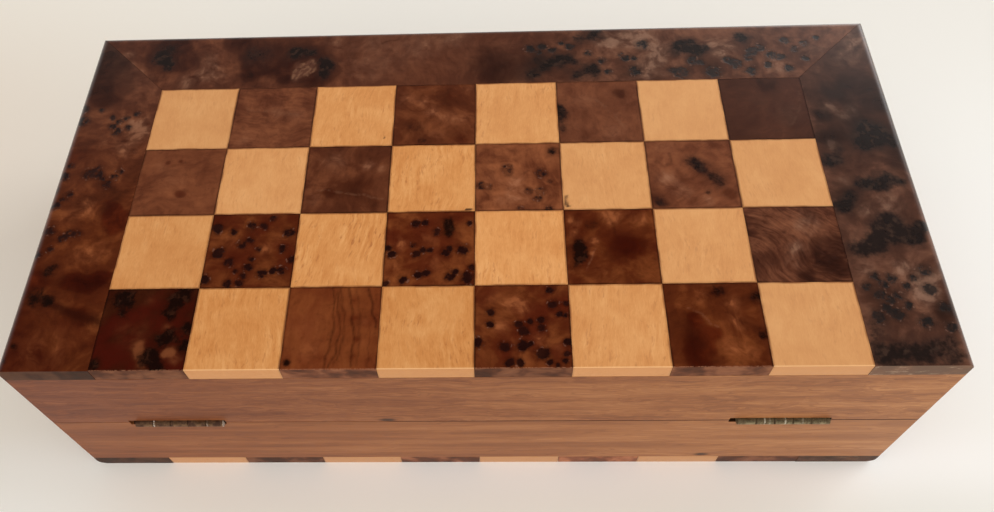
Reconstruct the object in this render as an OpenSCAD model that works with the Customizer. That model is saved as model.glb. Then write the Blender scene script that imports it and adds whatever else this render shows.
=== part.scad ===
// Folding chess box: two shallow trays hinged along one long side and closed by two swing hooks.
// The outer face of each tray carries half of a chessboard, four rows of eight squares inside a
// mitred border on three sides. Opened flat and turned over, the two faces make the whole board.
// Origin at the centre of the underside. X runs along the box, Y from the hinges to the hooks, Z up.

/* [Board] */
// Pitch of the chess squares
square_pitch = 30; // [28:0.1:36]
// Width of the border strips
border_w = 30; // [22:0.1:36]
// Thickness of the squares and the border strips
tile_t = 6; // [5:0.1:8]
// Glue line between neighbouring pieces of the board
glue_line = 0.12; // [0.06:0.01:0.3]
// Round-over along the three free edges of the upper board
upper_round = 3; // [0.5:0.1:4.5]
// Round-over along the three free edges of the lower board
lower_round = 4.5; // [0.5:0.1:4.8]

/* [Case] */
// Height of the closed box
case_h = 80; // [74:1:110]
// Thickness of the rails
rail_t = 10; // [9.5:0.5:14]
// Gap between the closed halves
seam_gap = 0.3; // [0.2:0.05:0.6]
// Thickness of the ground boards that carry the squares
ground_t = 3; // [2:0.5:6]
// Width of the rebate in which a ground board sits
rebate_w = 5; // [3:0.5:6]
// Clearance round a ground board in its rebate
ground_clearance = 0.1; // [0.05:0.05:0.4]
// Radius of the upright corners
corner_r = 1; // [0.5:0.1:3]

/* [Hinges] */
// Length of a hinge
hinge_l = 31; // [26:1:44]
// Distance from the end of the box to the middle of a hinge
hinge_inset = 46; // [30:1:70]
// Number of knuckles on a hinge
knuckles = 5; // [3:2:7]
// Diameter of the hinge barrel
barrel_d = 2.8; // [2.4:0.1:3.2]
// Thickness of the hinge leaves
leaf_t = 0.6; // [0.4:0.05:0.7]
// Width of a leaf, from the pin's axis
leaf_w = 8.6; // [7.5:0.1:9]
// Radial clearance between a pin and its knuckles
pin_clearance = 0.05; // [0.03:0.01:0.1]
// Gap beside and behind each knuckle
knuckle_gap = 0.3; // [0.2:0.05:0.4]
// Distance that the pin's axis stands outside the face of the box
axis_proud = 0.15; // [0.1:0.05:0.4]
// Spare length at the left end of a hinge mortise
mortise_spare_left = 2.5; // [0.3:0.1:3]
// Spare length at the right end of a hinge mortise
mortise_spare_right = 0.6; // [0.3:0.1:3]
// Clearance of the mortises behind a leaf and under a barrel
mortise_clearance = 0.25; // [0.2:0.05:0.5]
// Distance between the two screws of a leaf
screw_spacing = 19; // [12:0.5:20]
// Radius of a hinge screw's shank
screw_r = 0.8; // [0.6:0.05:1]
// Length of a hinge screw
screw_l = 8; // [5:0.5:12]

/* [Hooks] */
// Distance from a hook's pivot to its catch stud
hook_span = 18; // [15:0.5:20]
// Thickness of a hook
hook_t = 1; // [0.8:0.1:1.5]
// Width of a hook's arm
hook_arm_w = 4; // [3:0.1:4.8]
// Radius of a hook's eye
hook_eye_r = 3.2; // [2.8:0.1:4]
// Radius of a hook's head
hook_head_r = 3.9; // [3.5:0.1:4.5]
// Radius of a hook's thumb tab
hook_tab_r = 2.1; // [1.7:0.1:2.6]
// Distance from the stud to the middle of the thumb tab
hook_tab_reach = 5.2; // [4.6:0.1:5.8]
// Width of the neck between a hook's head and its thumb tab
hook_neck_w = 2.8; // [2:0.1:3.2]
// Clearance of a hook from the wood, the stud and the heads that hold it
hook_clearance = 0.3; // [0.25:0.05:0.5]
// Radial clearance of a hook's eye on its pivot
eye_clearance = 0.08; // [0.04:0.01:0.1]
// Radius of a pivot pin
pivot_r = 1; // [0.8:0.05:1.3]
// Radius of a catch stud's neck
stud_r = 1.2; // [1:0.05:1.4]
// Radius of the pivots' and studs' domed heads
dome_r = 2.4; // [2.1:0.1:3]
// Height of the pivots' and studs' domed heads
dome_h = 1.3; // [1:0.1:2]
// Length of a pivot's or stud's shank in the wood
shank_l = 7; // [4:0.5:8]

/* [Hidden] */
$fn = 96;
columns = 8;
rows = 4;
half_names = ["lower", "upper"];
side_names = ["left", "right"];
slack = 1;                                          // how far a cutter reaches past the face it cuts
pilot_clearance = 0.05;                             // play of a screw or shank in its pilot hole
edge_land = 0.2;                                    // upright edge left above a round-over
case_l = columns * square_pitch + 2 * border_w;
case_d = rows * square_pitch + border_w;
half_h = case_h / 2;
rail_top = half_h - seam_gap / 2;                   // height of the lower rails' seam face
hinge_face = -case_d / 2;
hook_face = case_d / 2;
hinge_x = case_l / 2 - hinge_inset;
barrel_r = barrel_d / 2;
bore_r = barrel_r - leaf_t;                         // a leaf's sheet is rolled round the pin
pin_r = bore_r - pin_clearance;
knuckle_pitch = hinge_l / knuckles;
leaf_root = barrel_r + knuckle_gap;                 // where the flat of a leaf starts, from the axis
screw_y = (leaf_root + leaf_w) / 2;
countersink_r = screw_r + leaf_t;
hook_low = hook_clearance;                          // the hook's back face, from the wood
dome_low = hook_low + hook_t + hook_clearance;      // underside of the domed heads, from the wood
slot_r = stud_r + hook_clearance;
pivot_z = half_h - hook_span / 2;

// ---- placing ----

// Everything is drawn for the lower half. The upper half is the same, mirrored in the seam.
module place_half(half) {
    if (half == "upper") translate([0, 0, case_h]) mirror([0, 0, 1]) children();
    else children();
}

// A piece drawn for the left end, or mirrored to the right one.
module place_end(side) {
    if (side == "right") mirror([1, 0, 0]) children();
    else children();
}

// The axis of a hinge: X along the pin, Y towards the wood.
module at_hinge(side) {
    translate([side == "left" ? -hinge_x : hinge_x, hinge_face - axis_proud, half_h]) children();
}

// A point on the hook side, Z pointing out of the wood. Local Y points up the face.
module on_hook_face(side, z) {
    translate([side == "left" ? -hinge_x : hinge_x, hook_face, z]) rotate([-90, 180, 0]) children();
}

// ---- board ----

module case_plan() {
    square([case_l - 2 * corner_r, case_d], center = true);
    square([case_l, case_d - 2 * corner_r], center = true);
    for (x = [-1, 1], y = [-1, 1])
        translate([x * (case_l / 2 - corner_r), y * (case_d / 2 - corner_r)]) circle(corner_r);
}

// The squares of one row and one colour. Row 1 lies beside the hinges. Its left square is light on
// the lower half and dark on the upper one, so that the colours still alternate on the open board.
module squares_row(half, row, light) {
    first = (row + (half == "upper" ? 1 : 0) + (light ? 1 : 0)) % 2;
    side = square_pitch - glue_line;
    place_half(half)
        for (column = [first:2:columns - 1])
            translate([-columns / 2 * square_pitch + column * square_pitch + glue_line / 2,
                       hinge_face + (row - 1) * square_pitch + glue_line / 2, 0])
                cube([side, side, tile_t]);
}

module light_squares_row(half, row) {
    color([0.84, 0.61, 0.34]) squares_row(half, row, true);
}

module dark_squares_row(half, row) {
    color([0.33, 0.17, 0.11]) squares_row(half, row, false);
}

// Section of a border strip: X from the outer edge inwards, Y up from the outer face.
module border_section(round_over) {
    r = min(round_over, tile_t - edge_land);
    difference() {
        square([border_w - glue_line / 2, tile_t]);
        difference() {
            translate([-slack, -slack]) square(r + slack);
            translate([r, r]) circle(r);
        }
    }
}

// Both ends are mitred into the end strips.
module hook_border(half, round_over) {
    miter = border_w - glue_line / 2;
    color([0.36, 0.19, 0.12]) place_half(half)
        intersection() {
            translate([-case_l / 2, hook_face, 0]) rotate([90, 0, 90])
                mirror([1, 0, 0]) linear_extrude(case_l) border_section(round_over);
            linear_extrude(tile_t) intersection() {
                case_plan();
                translate([0, hook_face])
                    polygon([[-case_l / 2 + glue_line, 0], [case_l / 2 - glue_line, 0],
                             [case_l / 2 - glue_line - miter, -miter],
                             [-case_l / 2 + glue_line + miter, -miter]]);
            }
        }
}

// An end strip runs from the hinge side to the mitre.
module end_border(half, side, round_over) {
    color([0.34, 0.18, 0.12]) place_half(half) place_end(side)
        intersection() {
            translate([-case_l / 2, hook_face, 0]) rotate([90, 0, 0])
                linear_extrude(case_d) border_section(round_over);
            linear_extrude(tile_t) intersection() {
                case_plan();
                polygon([[-case_l / 2, hinge_face], [-case_l / 2 + border_w, hinge_face],
                         [-case_l / 2 + border_w, hook_face - border_w], [-case_l / 2, hook_face]]);
            }
        }
}

// ---- rails and ground board ----

// Plan of one side of the frame, mitred at both ends: X along it, its outer face on Y = 0.
module mitred_plan(length) {
    polygon([[-length / 2, 0], [length / 2, 0], [length / 2 - rail_t, rail_t],
             [-length / 2 + rail_t, rail_t]]);
}

// A rail with the rebate for the ground board along its inner edge.
module rail(length, turn, depth) {
    difference() {
        translate([0, 0, tile_t]) linear_extrude(rail_top - tile_t) intersection() {
            case_plan();
            rotate(turn) translate([0, -depth / 2]) mitred_plan(length);
        }
        ground_pocket();
    }
}

module ground_pocket() {
    inset = 2 * (rail_t - rebate_w);
    translate([0, 0, tile_t + (ground_t - slack) / 2])
        cube([case_l - inset, case_d - inset, ground_t + slack], center = true);
}

module ground_board(half) {
    inset = 2 * (rail_t - rebate_w + ground_clearance);
    color([0.66, 0.46, 0.30]) place_half(half)
        translate([0, 0, tile_t + ground_t / 2])
            cube([case_l - inset, case_d - inset, ground_t], center = true);
}

// Seat of a hinge: a recess for the leaf, a deeper one under the barrel, and the screws' pilot holes.
module hinge_mortise() {
    left = -hinge_l / 2 - mortise_spare_left;
    length = hinge_l + mortise_spare_left + mortise_spare_right;
    translate([left, -slack, -barrel_r])
        cube([length, leaf_w + mortise_clearance + slack, barrel_r + slack]);
    translate([left, -slack, -barrel_r - mortise_clearance])
        cube([length, leaf_root + slack, barrel_r]);
    at_screws() translate([0, 0, -screw_l - pilot_clearance])
        cylinder(r = screw_r + pilot_clearance, h = screw_l + slack);
}

module hinge_rail(half) {
    color([0.60, 0.37, 0.24]) place_half(half)
        difference() {
            rail(case_l, 0, case_d);
            for (side = side_names) at_hinge(side) hinge_mortise();
        }
}

// The pivots go into the lower rail and the studs into the upper one, at the same places.
module hook_rail(half) {
    shank_r = half == "lower" ? pivot_r : stud_r;
    color([0.60, 0.37, 0.24]) place_half(half)
        difference() {
            rail(case_l, 180, case_d);
            for (side = side_names) on_hook_face(side, pivot_z)
                translate([0, 0, -shank_l - pilot_clearance])
                    cylinder(r = shank_r + pilot_clearance, h = shank_l + slack);
        }
}

module end_rail(half, side) {
    color([0.58, 0.36, 0.23]) place_half(half) place_end(side) rail(case_d, -90, case_l);
}

// ---- hinges ----

module at_screws() {
    for (x = [-1, 1]) translate([x * screw_spacing / 2, screw_y, -barrel_r + leaf_t]) children();
}

// Section of a knuckle, rolled from the leaf's own sheet: X towards the wood, Y up.
module knuckle_section() {
    difference() {
        union() {
            circle(barrel_r);
            translate([0, -barrel_r]) square([leaf_root + leaf_t, leaf_t]);
        }
        circle(bore_r);
    }
}

// A leaf below the axis, with every second knuckle from first on.
module hinge_leaf(first) {
    difference() {
        union() {
            translate([-hinge_l / 2, leaf_root, -barrel_r]) cube([hinge_l, leaf_w - leaf_root, leaf_t]);
            for (k = [first:2:knuckles - 1]) {
                start = k == 0 ? 0 : knuckle_gap / 2;
                end = k == knuckles - 1 ? 0 : knuckle_gap / 2;
                translate([-hinge_l / 2 + k * knuckle_pitch + start, 0, 0]) rotate([90, 0, 90])
                    linear_extrude(knuckle_pitch - start - end) knuckle_section();
            }
        }
        at_screws() translate([0, 0, -leaf_t])
            cylinder(r1 = screw_r + pilot_clearance, r2 = countersink_r + pilot_clearance, h = leaf_t);
    }
}

module lower_leaf(side) {
    color([0.50, 0.46, 0.37]) at_hinge(side) hinge_leaf(0);
}

module upper_leaf(side) {
    color([0.50, 0.46, 0.37]) place_half("upper") at_hinge(side) hinge_leaf(1);
}

module hinge_pin(side) {
    color([0.42, 0.39, 0.33]) at_hinge(side) rotate([0, 90, 0]) cylinder(r = pin_r, h = hinge_l, center = true);
}

// A slotted countersunk wood screw, its head flush with Z = 0.
module wood_screw() {
    tip = 2 * screw_r;
    slot_w = screw_r / 2;
    difference() {
        union() {
            translate([0, 0, -leaf_t]) cylinder(r1 = screw_r, r2 = countersink_r, h = leaf_t);
            translate([0, 0, -screw_l + tip]) cylinder(r = screw_r, h = screw_l - tip - leaf_t);
            translate([0, 0, -screw_l]) cylinder(r1 = screw_r / 4, r2 = screw_r, h = tip);
        }
        translate([-countersink_r - slack, -slot_w / 2, -leaf_t / 2])
            cube([2 * (countersink_r + slack), slot_w, leaf_t]);
    }
}

module hinge_screws(half, side) {
    color([0.62, 0.52, 0.33]) place_half(half) at_hinge(side)
        at_screws() wood_screw();
}

// ---- hooks ----

// Outline of a hook in its latched place: the pivot at the origin, the stud up the face from it.
module hook_outline() {
    circle(hook_eye_r);
    translate([-hook_arm_w / 2, 0]) square([hook_arm_w, hook_span]);
    translate([0, hook_span]) {
        circle(hook_head_r);
        translate([-hook_neck_w / 2, 0]) square([hook_neck_w, hook_tab_reach]);
        translate([0, hook_tab_reach]) circle(hook_tab_r);
    }
}

// The way of the stud into the hook's head, a curve about the pivot that opens on the -X side.
module hook_slot() {
    reach = hook_span + hook_head_r;
    translate([0, hook_span]) circle(slot_r);
    intersection() {
        difference() {
            circle(hook_span + slot_r);
            circle(hook_span - slot_r);
        }
        polygon([[0, 0], [0, 2 * reach], [-reach, 2 * reach]]);
    }
}

// A hook hangs from its pivot when it is open.
module hook(side) {
    color([0.74, 0.60, 0.33]) on_hook_face(side, pivot_z)
        translate([0, 0, hook_low]) rotate(180) linear_extrude(hook_t)
            difference() {
                hook_outline();
                hook_slot();
                circle(pivot_r + eye_clearance);
            }
}

// A domed head on a plain shank that is driven into the wood.
module domed_pin(shank_r) {
    dome_sphere = (dome_r * dome_r + dome_h * dome_h) / (2 * dome_h);
    translate([0, 0, -shank_l]) cylinder(r = shank_r, h = shank_l + dome_low + dome_h / 2);
    translate([0, 0, dome_low]) intersection() {
        translate([0, 0, dome_h - dome_sphere]) sphere(dome_sphere);
        cylinder(r = dome_sphere, h = dome_h);
    }
}

module hook_pivot(side) {
    color([0.74, 0.60, 0.33]) on_hook_face(side, pivot_z) domed_pin(pivot_r);
}

module catch_stud(side) {
    color([0.74, 0.60, 0.33]) place_half("upper") on_hook_face(side, pivot_z) domed_pin(stud_r);
}

// ---- nodes ----

for (half = half_names) {
    round_over = half == "upper" ? upper_round : lower_round;
    ground_board(half);
    hinge_rail(half);
    hook_rail(half);
    hook_border(half, round_over);
    for (side = side_names) {
        end_rail(half, side);
        end_border(half, side, round_over);
    }
    for (row = [1:rows]) {
        light_squares_row(half, row);
        dark_squares_row(half, row);
    }
}
for (side = side_names) {
    lower_leaf(side);
    upper_leaf(side);
    hinge_pin(side);
    hinge_screws("lower", side);
    hinge_screws("upper", side);
    hook(side);
    hook_pivot(side);
    catch_stud(side);
}
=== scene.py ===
import math
import random
import bmesh
import bpy
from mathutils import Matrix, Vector, noise


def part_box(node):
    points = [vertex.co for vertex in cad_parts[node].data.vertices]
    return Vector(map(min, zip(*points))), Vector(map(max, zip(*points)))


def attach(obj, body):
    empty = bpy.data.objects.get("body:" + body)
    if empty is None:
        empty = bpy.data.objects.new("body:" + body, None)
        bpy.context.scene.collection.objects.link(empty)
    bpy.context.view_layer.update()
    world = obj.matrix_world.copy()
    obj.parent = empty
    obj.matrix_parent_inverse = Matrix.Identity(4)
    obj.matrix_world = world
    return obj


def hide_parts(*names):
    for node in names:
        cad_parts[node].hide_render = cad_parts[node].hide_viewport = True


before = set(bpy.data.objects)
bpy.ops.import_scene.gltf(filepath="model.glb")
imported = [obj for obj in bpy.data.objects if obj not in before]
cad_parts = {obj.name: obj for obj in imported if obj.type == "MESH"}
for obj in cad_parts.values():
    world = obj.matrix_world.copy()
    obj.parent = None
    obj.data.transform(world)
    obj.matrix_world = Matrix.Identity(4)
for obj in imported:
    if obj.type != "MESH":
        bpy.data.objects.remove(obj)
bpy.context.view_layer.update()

print("stage: frame loaded,", len(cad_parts), "nodes")


# Shader maths: a socket that can be added, multiplied and compared like a number

class Sock:
    def __init__(self, tree, link):
        self.tree = tree
        self.link = link
        self.isVector = link.type in ("VECTOR", "RGBA")

    def __add__(self, other):
        return self.tree.maths("ADD", self, other)

    def __radd__(self, other):
        return self.tree.maths("ADD", other, self)

    def __sub__(self, other):
        return self.tree.maths("SUBTRACT", self, other)

    def __rsub__(self, other):
        return self.tree.maths("SUBTRACT", other, self)

    def __mul__(self, other):
        return self.tree.maths("MULTIPLY", self, other)

    def __rmul__(self, other):
        return self.tree.maths("MULTIPLY", other, self)

    def __abs__(self):
        kind = "ShaderNodeVectorMath" if self.isVector else "ShaderNodeMath"
        return self.tree.add(kind, {"operation": "ABSOLUTE"}, {0: self})


class Tree:
    def __init__(self, owner):
        owner.use_nodes = True
        self.owner = owner
        self.nodes = owner.node_tree.nodes
        self.links = owner.node_tree.links
        self.nodes.clear()

    def plug(self, socket, value):
        if isinstance(value, Sock):
            self.links.new(value.link, socket)
        elif socket.type == "VECTOR" and isinstance(value, (int, float)):
            socket.default_value = (value, value, value)
        elif socket.type == "RGBA":
            socket.default_value = tuple(value) + (1.0,)
        else:
            socket.default_value = value

    # any node: its settings are set first, then its sockets
    def add(self, kind, settings, inputs, output=0):
        node = self.nodes.new(kind)
        for name, value in settings.items():
            if name == "stops":
                self.setStops(node.color_ramp, value)
            else:
                setattr(node, name, value)
        for name, value in inputs.items():
            self.plug(node.inputs[name], value)
        return Sock(self, node.outputs[output]) if len(node.outputs) else node

    def setStops(self, ramp, stops):
        while len(ramp.elements) < len(stops):
            ramp.elements.new(0.5)
        for element, (place, tint) in zip(ramp.elements, stops):
            element.position = place
            element.color = tuple(tint) + (1.0,)

    def maths(self, operation, first, second):
        values = (first, second)
        isVector = any(isinstance(value, tuple) or getattr(value, "isVector", False) for value in values)
        kind = "ShaderNodeVectorMath" if isVector else "ShaderNodeMath"
        return self.add(kind, {"operation": operation}, {0: first, 1: second})

    def attribute(self, name):
        return self.add("ShaderNodeAttribute", {"attribute_name": name}, {}, "Vector")

    def objectPlace(self):
        return self.add("ShaderNodeTexCoord", {}, {}, "Object")

    def split(self, vector):
        node = self.add("ShaderNodeSeparateXYZ", {}, {0: vector}).link.node
        return [Sock(self, output) for output in node.outputs]

    def noise(self, place, scale, detail=2.0, roughness=0.5, output="Fac"):
        values = {"Vector": place, "Scale": scale, "Detail": detail, "Roughness": roughness}
        return self.add("ShaderNodeTexNoise", {}, values, output)

    # a small push to and fro, along each axis on its own
    def stray(self, place, scale):
        return self.noise(place, scale, 2.0, 0.5, "Color") - 0.5

    def length(self, vector):
        return self.add("ShaderNodeVectorMath", {"operation": "LENGTH"}, {0: vector}, "Value")

    # the contour lines of a smooth field, as year rings are
    def rings(self, field, count):
        return self.add("ShaderNodeMath", {"operation": "SINE"}, {0: field * count}) * 0.5 + 0.5

    # how far a value has come from low to high, softly, from 0 to 1; high may be the smaller one
    def fade(self, value, low, high):
        values = {"Value": value, "From Min": low, "From Max": high}
        return self.add("ShaderNodeMapRange", {"interpolation_type": "SMOOTHSTEP"}, values)

    def mix(self, factor, first, second):
        return self.add("ShaderNodeMix", {"data_type": "RGBA"}, {0: factor, 6: first, 7: second}, 2)

    # from the dark to the light tint of a wood by way of its middle one
    def threeTints(self, value, wood):
        stops = [(0.0, wood["dark"]), (0.5, wood["middle"]), (1.0, wood["light"])]
        return self.add("ShaderNodeValToRGB", {"stops": stops}, {0: value}, "Color")

    def surface(self, varying, fixed, bumpHeight=None, bumpDepth=0.0):
        values = dict(varying)
        values.update(fixed)
        if bumpHeight is not None:
            values["Normal"] = self.add(
                "ShaderNodeBump", {}, {"Strength": 1.0, "Distance": bumpDepth, "Height": bumpHeight})
        shader = self.add("ShaderNodeBsdfPrincipled", {}, values)
        self.add("ShaderNodeOutputMaterial", {}, {"Surface": shader})
        return self.owner


# a colour written as on a paint card, 0 to 255, in Blender's linear numbers
def tint(*levels):
    shares = [level / 255 for level in levels]
    return tuple(((share + 0.055) / 1.055) ** 2.4 if share > 0.04 else share / 12.92 for share in shares)


def newMaterial(name):
    return Tree(bpy.data.materials.new(name))


# Woods of the board. Their meshes carry "grain", the place in the plank in mm; "figure", the dark patches,
# glowing parts and depth in an eye; "tone", the lightness, redness and dark veins; "lines", the pale
# threads, how silky or lively the wood is and the shadows; and "rim", the place from the middle of the
# square and how plain its wood is.

burl = {
    "dark": tint(46, 13, 4),
    "middle": tint(92, 41, 17),
    "light": tint(142, 77, 38),
    "red": tint(84, 21, 8),
    "faded": (1.6, 0.87, 0.62),
    "shade": (0.50, 0.72, 0.76),          # what shadows take away, in fresh and in dull wood
    "dullShade": (0.66, 0.66, 0.64),
    "eye": tint(32, 5, 2),
    "patch": tint(20, 7, 4),
    "soot": tint(28, 21, 19),
    "dusk": tint(48, 34, 29),
    "ash": tint(140, 106, 82),
    "fleck": tint(74, 40, 25),
    "mote": tint(88, 64, 52),
    "glow": tint(158, 90, 52),
    "thread": tint(164, 108, 76),
    # paler tips of the fibres on the front arris: partly wear, partly a painted highlight
    "wornHighlight": tint(160, 112, 84),
    # painted glint: a pale fleck beside the eyes, standing in for light shining on their rims
    "paintedGlint": tint(150, 112, 96),
    "wander": 15.0,          # mm that the fibres stray
    "stained": (14.2, 14.8),          # mm from the middle of a square to where its glued edge darkens
    "bump": 0.00003,
}


# how near a place is to the glued edge of its square, which is a little stained
def seamStain(tree, place):
    besideX, besideY, _ = tree.split(abs(tree.attribute("rim")))
    edge = tree.maths("MAXIMUM", besideX, besideY)
    patchy = tree.fade(tree.noise(place, 0.12), 0.32, 0.60)
    return tree.fade(edge, *burl["stained"]) * (patchy * 0.75 + 0.25)


# the worn amount is how much of the varnish has gone from the tips of the fibres, paler partly from wear and
# partly as a painted highlight
def burlTop(name, wornHighlight):
    tree = newMaterial(name)
    place = tree.attribute("grain")
    patch, glow, depth = tree.split(tree.attribute("figure"))
    lightness, redness, vein = tree.split(tree.attribute("tone"))
    thread, silk, shadow = tree.split(tree.attribute("lines"))
    _, _, plain = tree.split(tree.attribute("rim"))
    lively = 1.0 - plain

    # clouds, mottles, streaks and fibres, from wide to fine, follow the bent grain
    wide = place + tree.stray(place, 0.045) * burl["wander"]
    bent = wide + tree.stray(wide, 0.16) * 4.0
    cloud = tree.fade(tree.noise(wide, 0.08, 3.0), 0.30, 0.70)
    mottle = tree.noise(bent, 0.24, 3.0, 0.55)
    streak = tree.noise(bent * (1.0, 0.25, 1.0), 0.35)
    silky = tree.noise(wide * (1.0, 0.10, 1.0), 0.75, 3.0, 0.6)
    fibre = tree.noise(bent * (1.0, 0.10, 1.0), 3.2)
    broad = ((cloud - 0.5) * 0.36 + (mottle - 0.5) * 0.66) * lively
    shade = broad + (streak - 0.5) * 0.3 + (fibre - 0.5) * 0.10 + 0.5
    shade = shade + (silky - 0.5) * silk * 1.1 + (lightness - 1.0) * 0.6
    colour = tree.threeTints(shade, burl)
    red = tree.maths("MAXIMUM", redness, 0.0)
    dull = tree.maths("MAXIMUM", redness * -1.0, 0.0)
    colour = tree.mix(red * tree.fade(cloud, 1.0, 0.0), colour, burl["red"])
    dusty = tree.fade(dull, 0.0, 0.6)

    # a tint of the burl, greyer where the wood is dull
    def either(fresh, old):
        return tree.mix(dusty, burl[fresh], burl[old])

    warm = glow + tree.fade(glow, 0.0, 0.4) * (mottle - 0.5) * (lively * 1.2 + 0.3)
    warm = tree.fade(warm, 0.0, 1.05) * 0.6 + tree.fade(warm, 0.42, 0.66) * 0.25
    colour = tree.mix(warm, colour, either("glow", "ash"))
    colour = colour * (lightness * 0.6 + 0.4)
    grey = tree.add("ShaderNodeRGBToBW", {}, {0: colour})
    colour = tree.mix(dull, colour, grey * burl["faded"])
    shaded = shadow + (mottle - 0.5) * shadow
    shaded = tree.fade(shaded, 0.0, 1.1) * 0.7 + tree.fade(shaded, 0.45, 0.72) * 0.3
    colour = colour * (1.0 - shaded * either("shade", "dullShade"))
    colour = tree.mix(tree.fade(vein + (fibre - 0.5) * 0.5, 0.05, 0.9) * 0.75, colour, burl["dark"])
    faint = tree.fade(tree.noise(place, 0.5, 2.0, 0.6), 0.35, 0.62)
    colour = tree.mix(tree.fade(thread, 0.0, 1.0) * faint * 0.55, colour, either("thread", "ash"))

    # dark patches: a soft brown shadow round a lobed black middle
    ragged = (tree.noise(place, 0.21, 3.0, 0.62) - 0.5) * 1.4
    ragged = ragged + (tree.noise(place, 0.8, 2.0, 0.6) - 0.5) * 0.5
    dark = patch + tree.fade(patch, 0.05, 0.5) * ragged
    flecked = tree.fade(tree.noise(place, 0.34, 3.0, 0.6), 0.50, 0.70)
    black = tree.mix(flecked * 0.4, either("patch", "soot"), either("fleck", "mote"))
    deep = either("dark", "dusk")
    colour = tree.mix(tree.fade(dark, -0.05, 0.75) * 0.70, colour, deep)
    colour = tree.mix(tree.fade(dark, 0.36, 0.90) * 0.92, colour, black)

    # eyes: small knots with a soft brown ring; depth is 1 in their middle and 0 at their rim
    inner = depth + (tree.noise(place, 0.5, 3.0, 0.65) - 0.5) * 1.7
    eye = tree.fade(inner, -0.25, 0.20)
    strong = tree.fade(tree.noise(place, 0.16, 1.0), 0.30, 0.62) * 0.2 + 0.8
    colour = tree.mix(tree.fade(inner, -1.1, -0.1) * 0.5, colour, deep)
    colour = tree.mix(eye * strong, colour, either("eye", "soot"))
    # painted glints: pale flecks on the rims of the eyes stand in for small highlights
    beside = tree.fade(inner, -0.65, -0.35) * tree.fade(inner, -0.02, -0.25)
    paintedGlint = tree.fade(tree.noise(place, 0.7), 0.58, 0.68) * beside
    colour = tree.mix(paintedGlint * 0.3, colour, burl["paintedGlint"])
    colour = tree.mix(seamStain(tree, place) * 0.5, colour, burl["patch"])
    colour = tree.mix(tree.fade(fibre, 0.35, 0.6) * wornHighlight, colour, burl["wornHighlight"])

    height = (streak - 0.5) * 0.4 - eye * 0.8
    varying = {"Base Color": colour, "Roughness": 0.23 + eye * 0.1 + (fibre - 0.5) * 0.08}
    fixed = {"Specular IOR Level": 0.25, "Coat Weight": 0.08, "Coat Roughness": 0.12}
    return tree.surface(varying, fixed, height, burl["bump"])


sawnBurl = {
    "dark": tint(66, 38, 26),
    "middle": tint(106, 63, 43),
    "light": tint(144, 94, 66),
    "dull": tint(104, 84, 70),
    "scratch": tint(168, 146, 124),
    "tile": (15.0, 14.8),          # mm from the middle of a square to its side, and a little less
}


# sawn ends of the burl; strength makes the whole piece lighter or darker, which on the ends is painted light
# and shade; paler holds the middles of single squares in mm, with how much paler or darker each of them is
def burlEdge(name, strength, dull=0.0, scratched=0.0, paler=()):
    tree = newMaterial(name)
    place = tree.attribute("grain")
    lightness, _, _ = tree.split(tree.attribute("tone"))
    bent = place + tree.stray(place, 0.08) * 8.0
    cloud = tree.fade(tree.noise(bent, 0.12), 0.35, 0.65)
    line = tree.noise(bent * (0.35, 0.35, 1.4), 0.9, 3.0, 0.6)
    colour = tree.threeTints(cloud * 0.7 + (line - 0.5) * 0.8 + 0.15, sawnBurl)
    colour = tree.mix(dull, colour, sawnBurl["dull"])
    scratch = tree.fade(tree.noise(place * (0.25, 0.25, 1.0), 0.9, 3.0, 0.7), 0.56, 0.66)
    colour = tree.mix(scratch * scratched, colour, sawnBurl["scratch"])
    level = lightness * 0.35 + 0.65
    across, _, _ = tree.split(tree.objectPlace() * 1000.0)
    for middle, amount in paler:
        level = level + tree.fade(abs(across - middle), *sawnBurl["tile"]) * amount
    colour = colour * (level * strength)
    varying = {"Base Color": colour, "Roughness": 0.5 + (line - 0.5) * 0.2}
    return tree.surface(varying, {"Specular IOR Level": 0.1, "Coat Weight": 0.0}, line, burl["bump"])


lemon = {
    "dark": tint(200, 128, 66),
    "middle": tint(215, 147, 84),
    "light": tint(227, 164, 102),
    "pore": tint(172, 102, 50),
    "edge": tint(206, 148, 96),
    # the front arris: paler partly from wear and partly as a painted highlight
    "wornHighlight": tint(238, 192, 138),
    "faded": tint(218, 168, 120),
    "stain": tint(120, 66, 34),
    "nick": tint(52, 30, 18),
    "bump": 0.00003,
}


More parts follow.
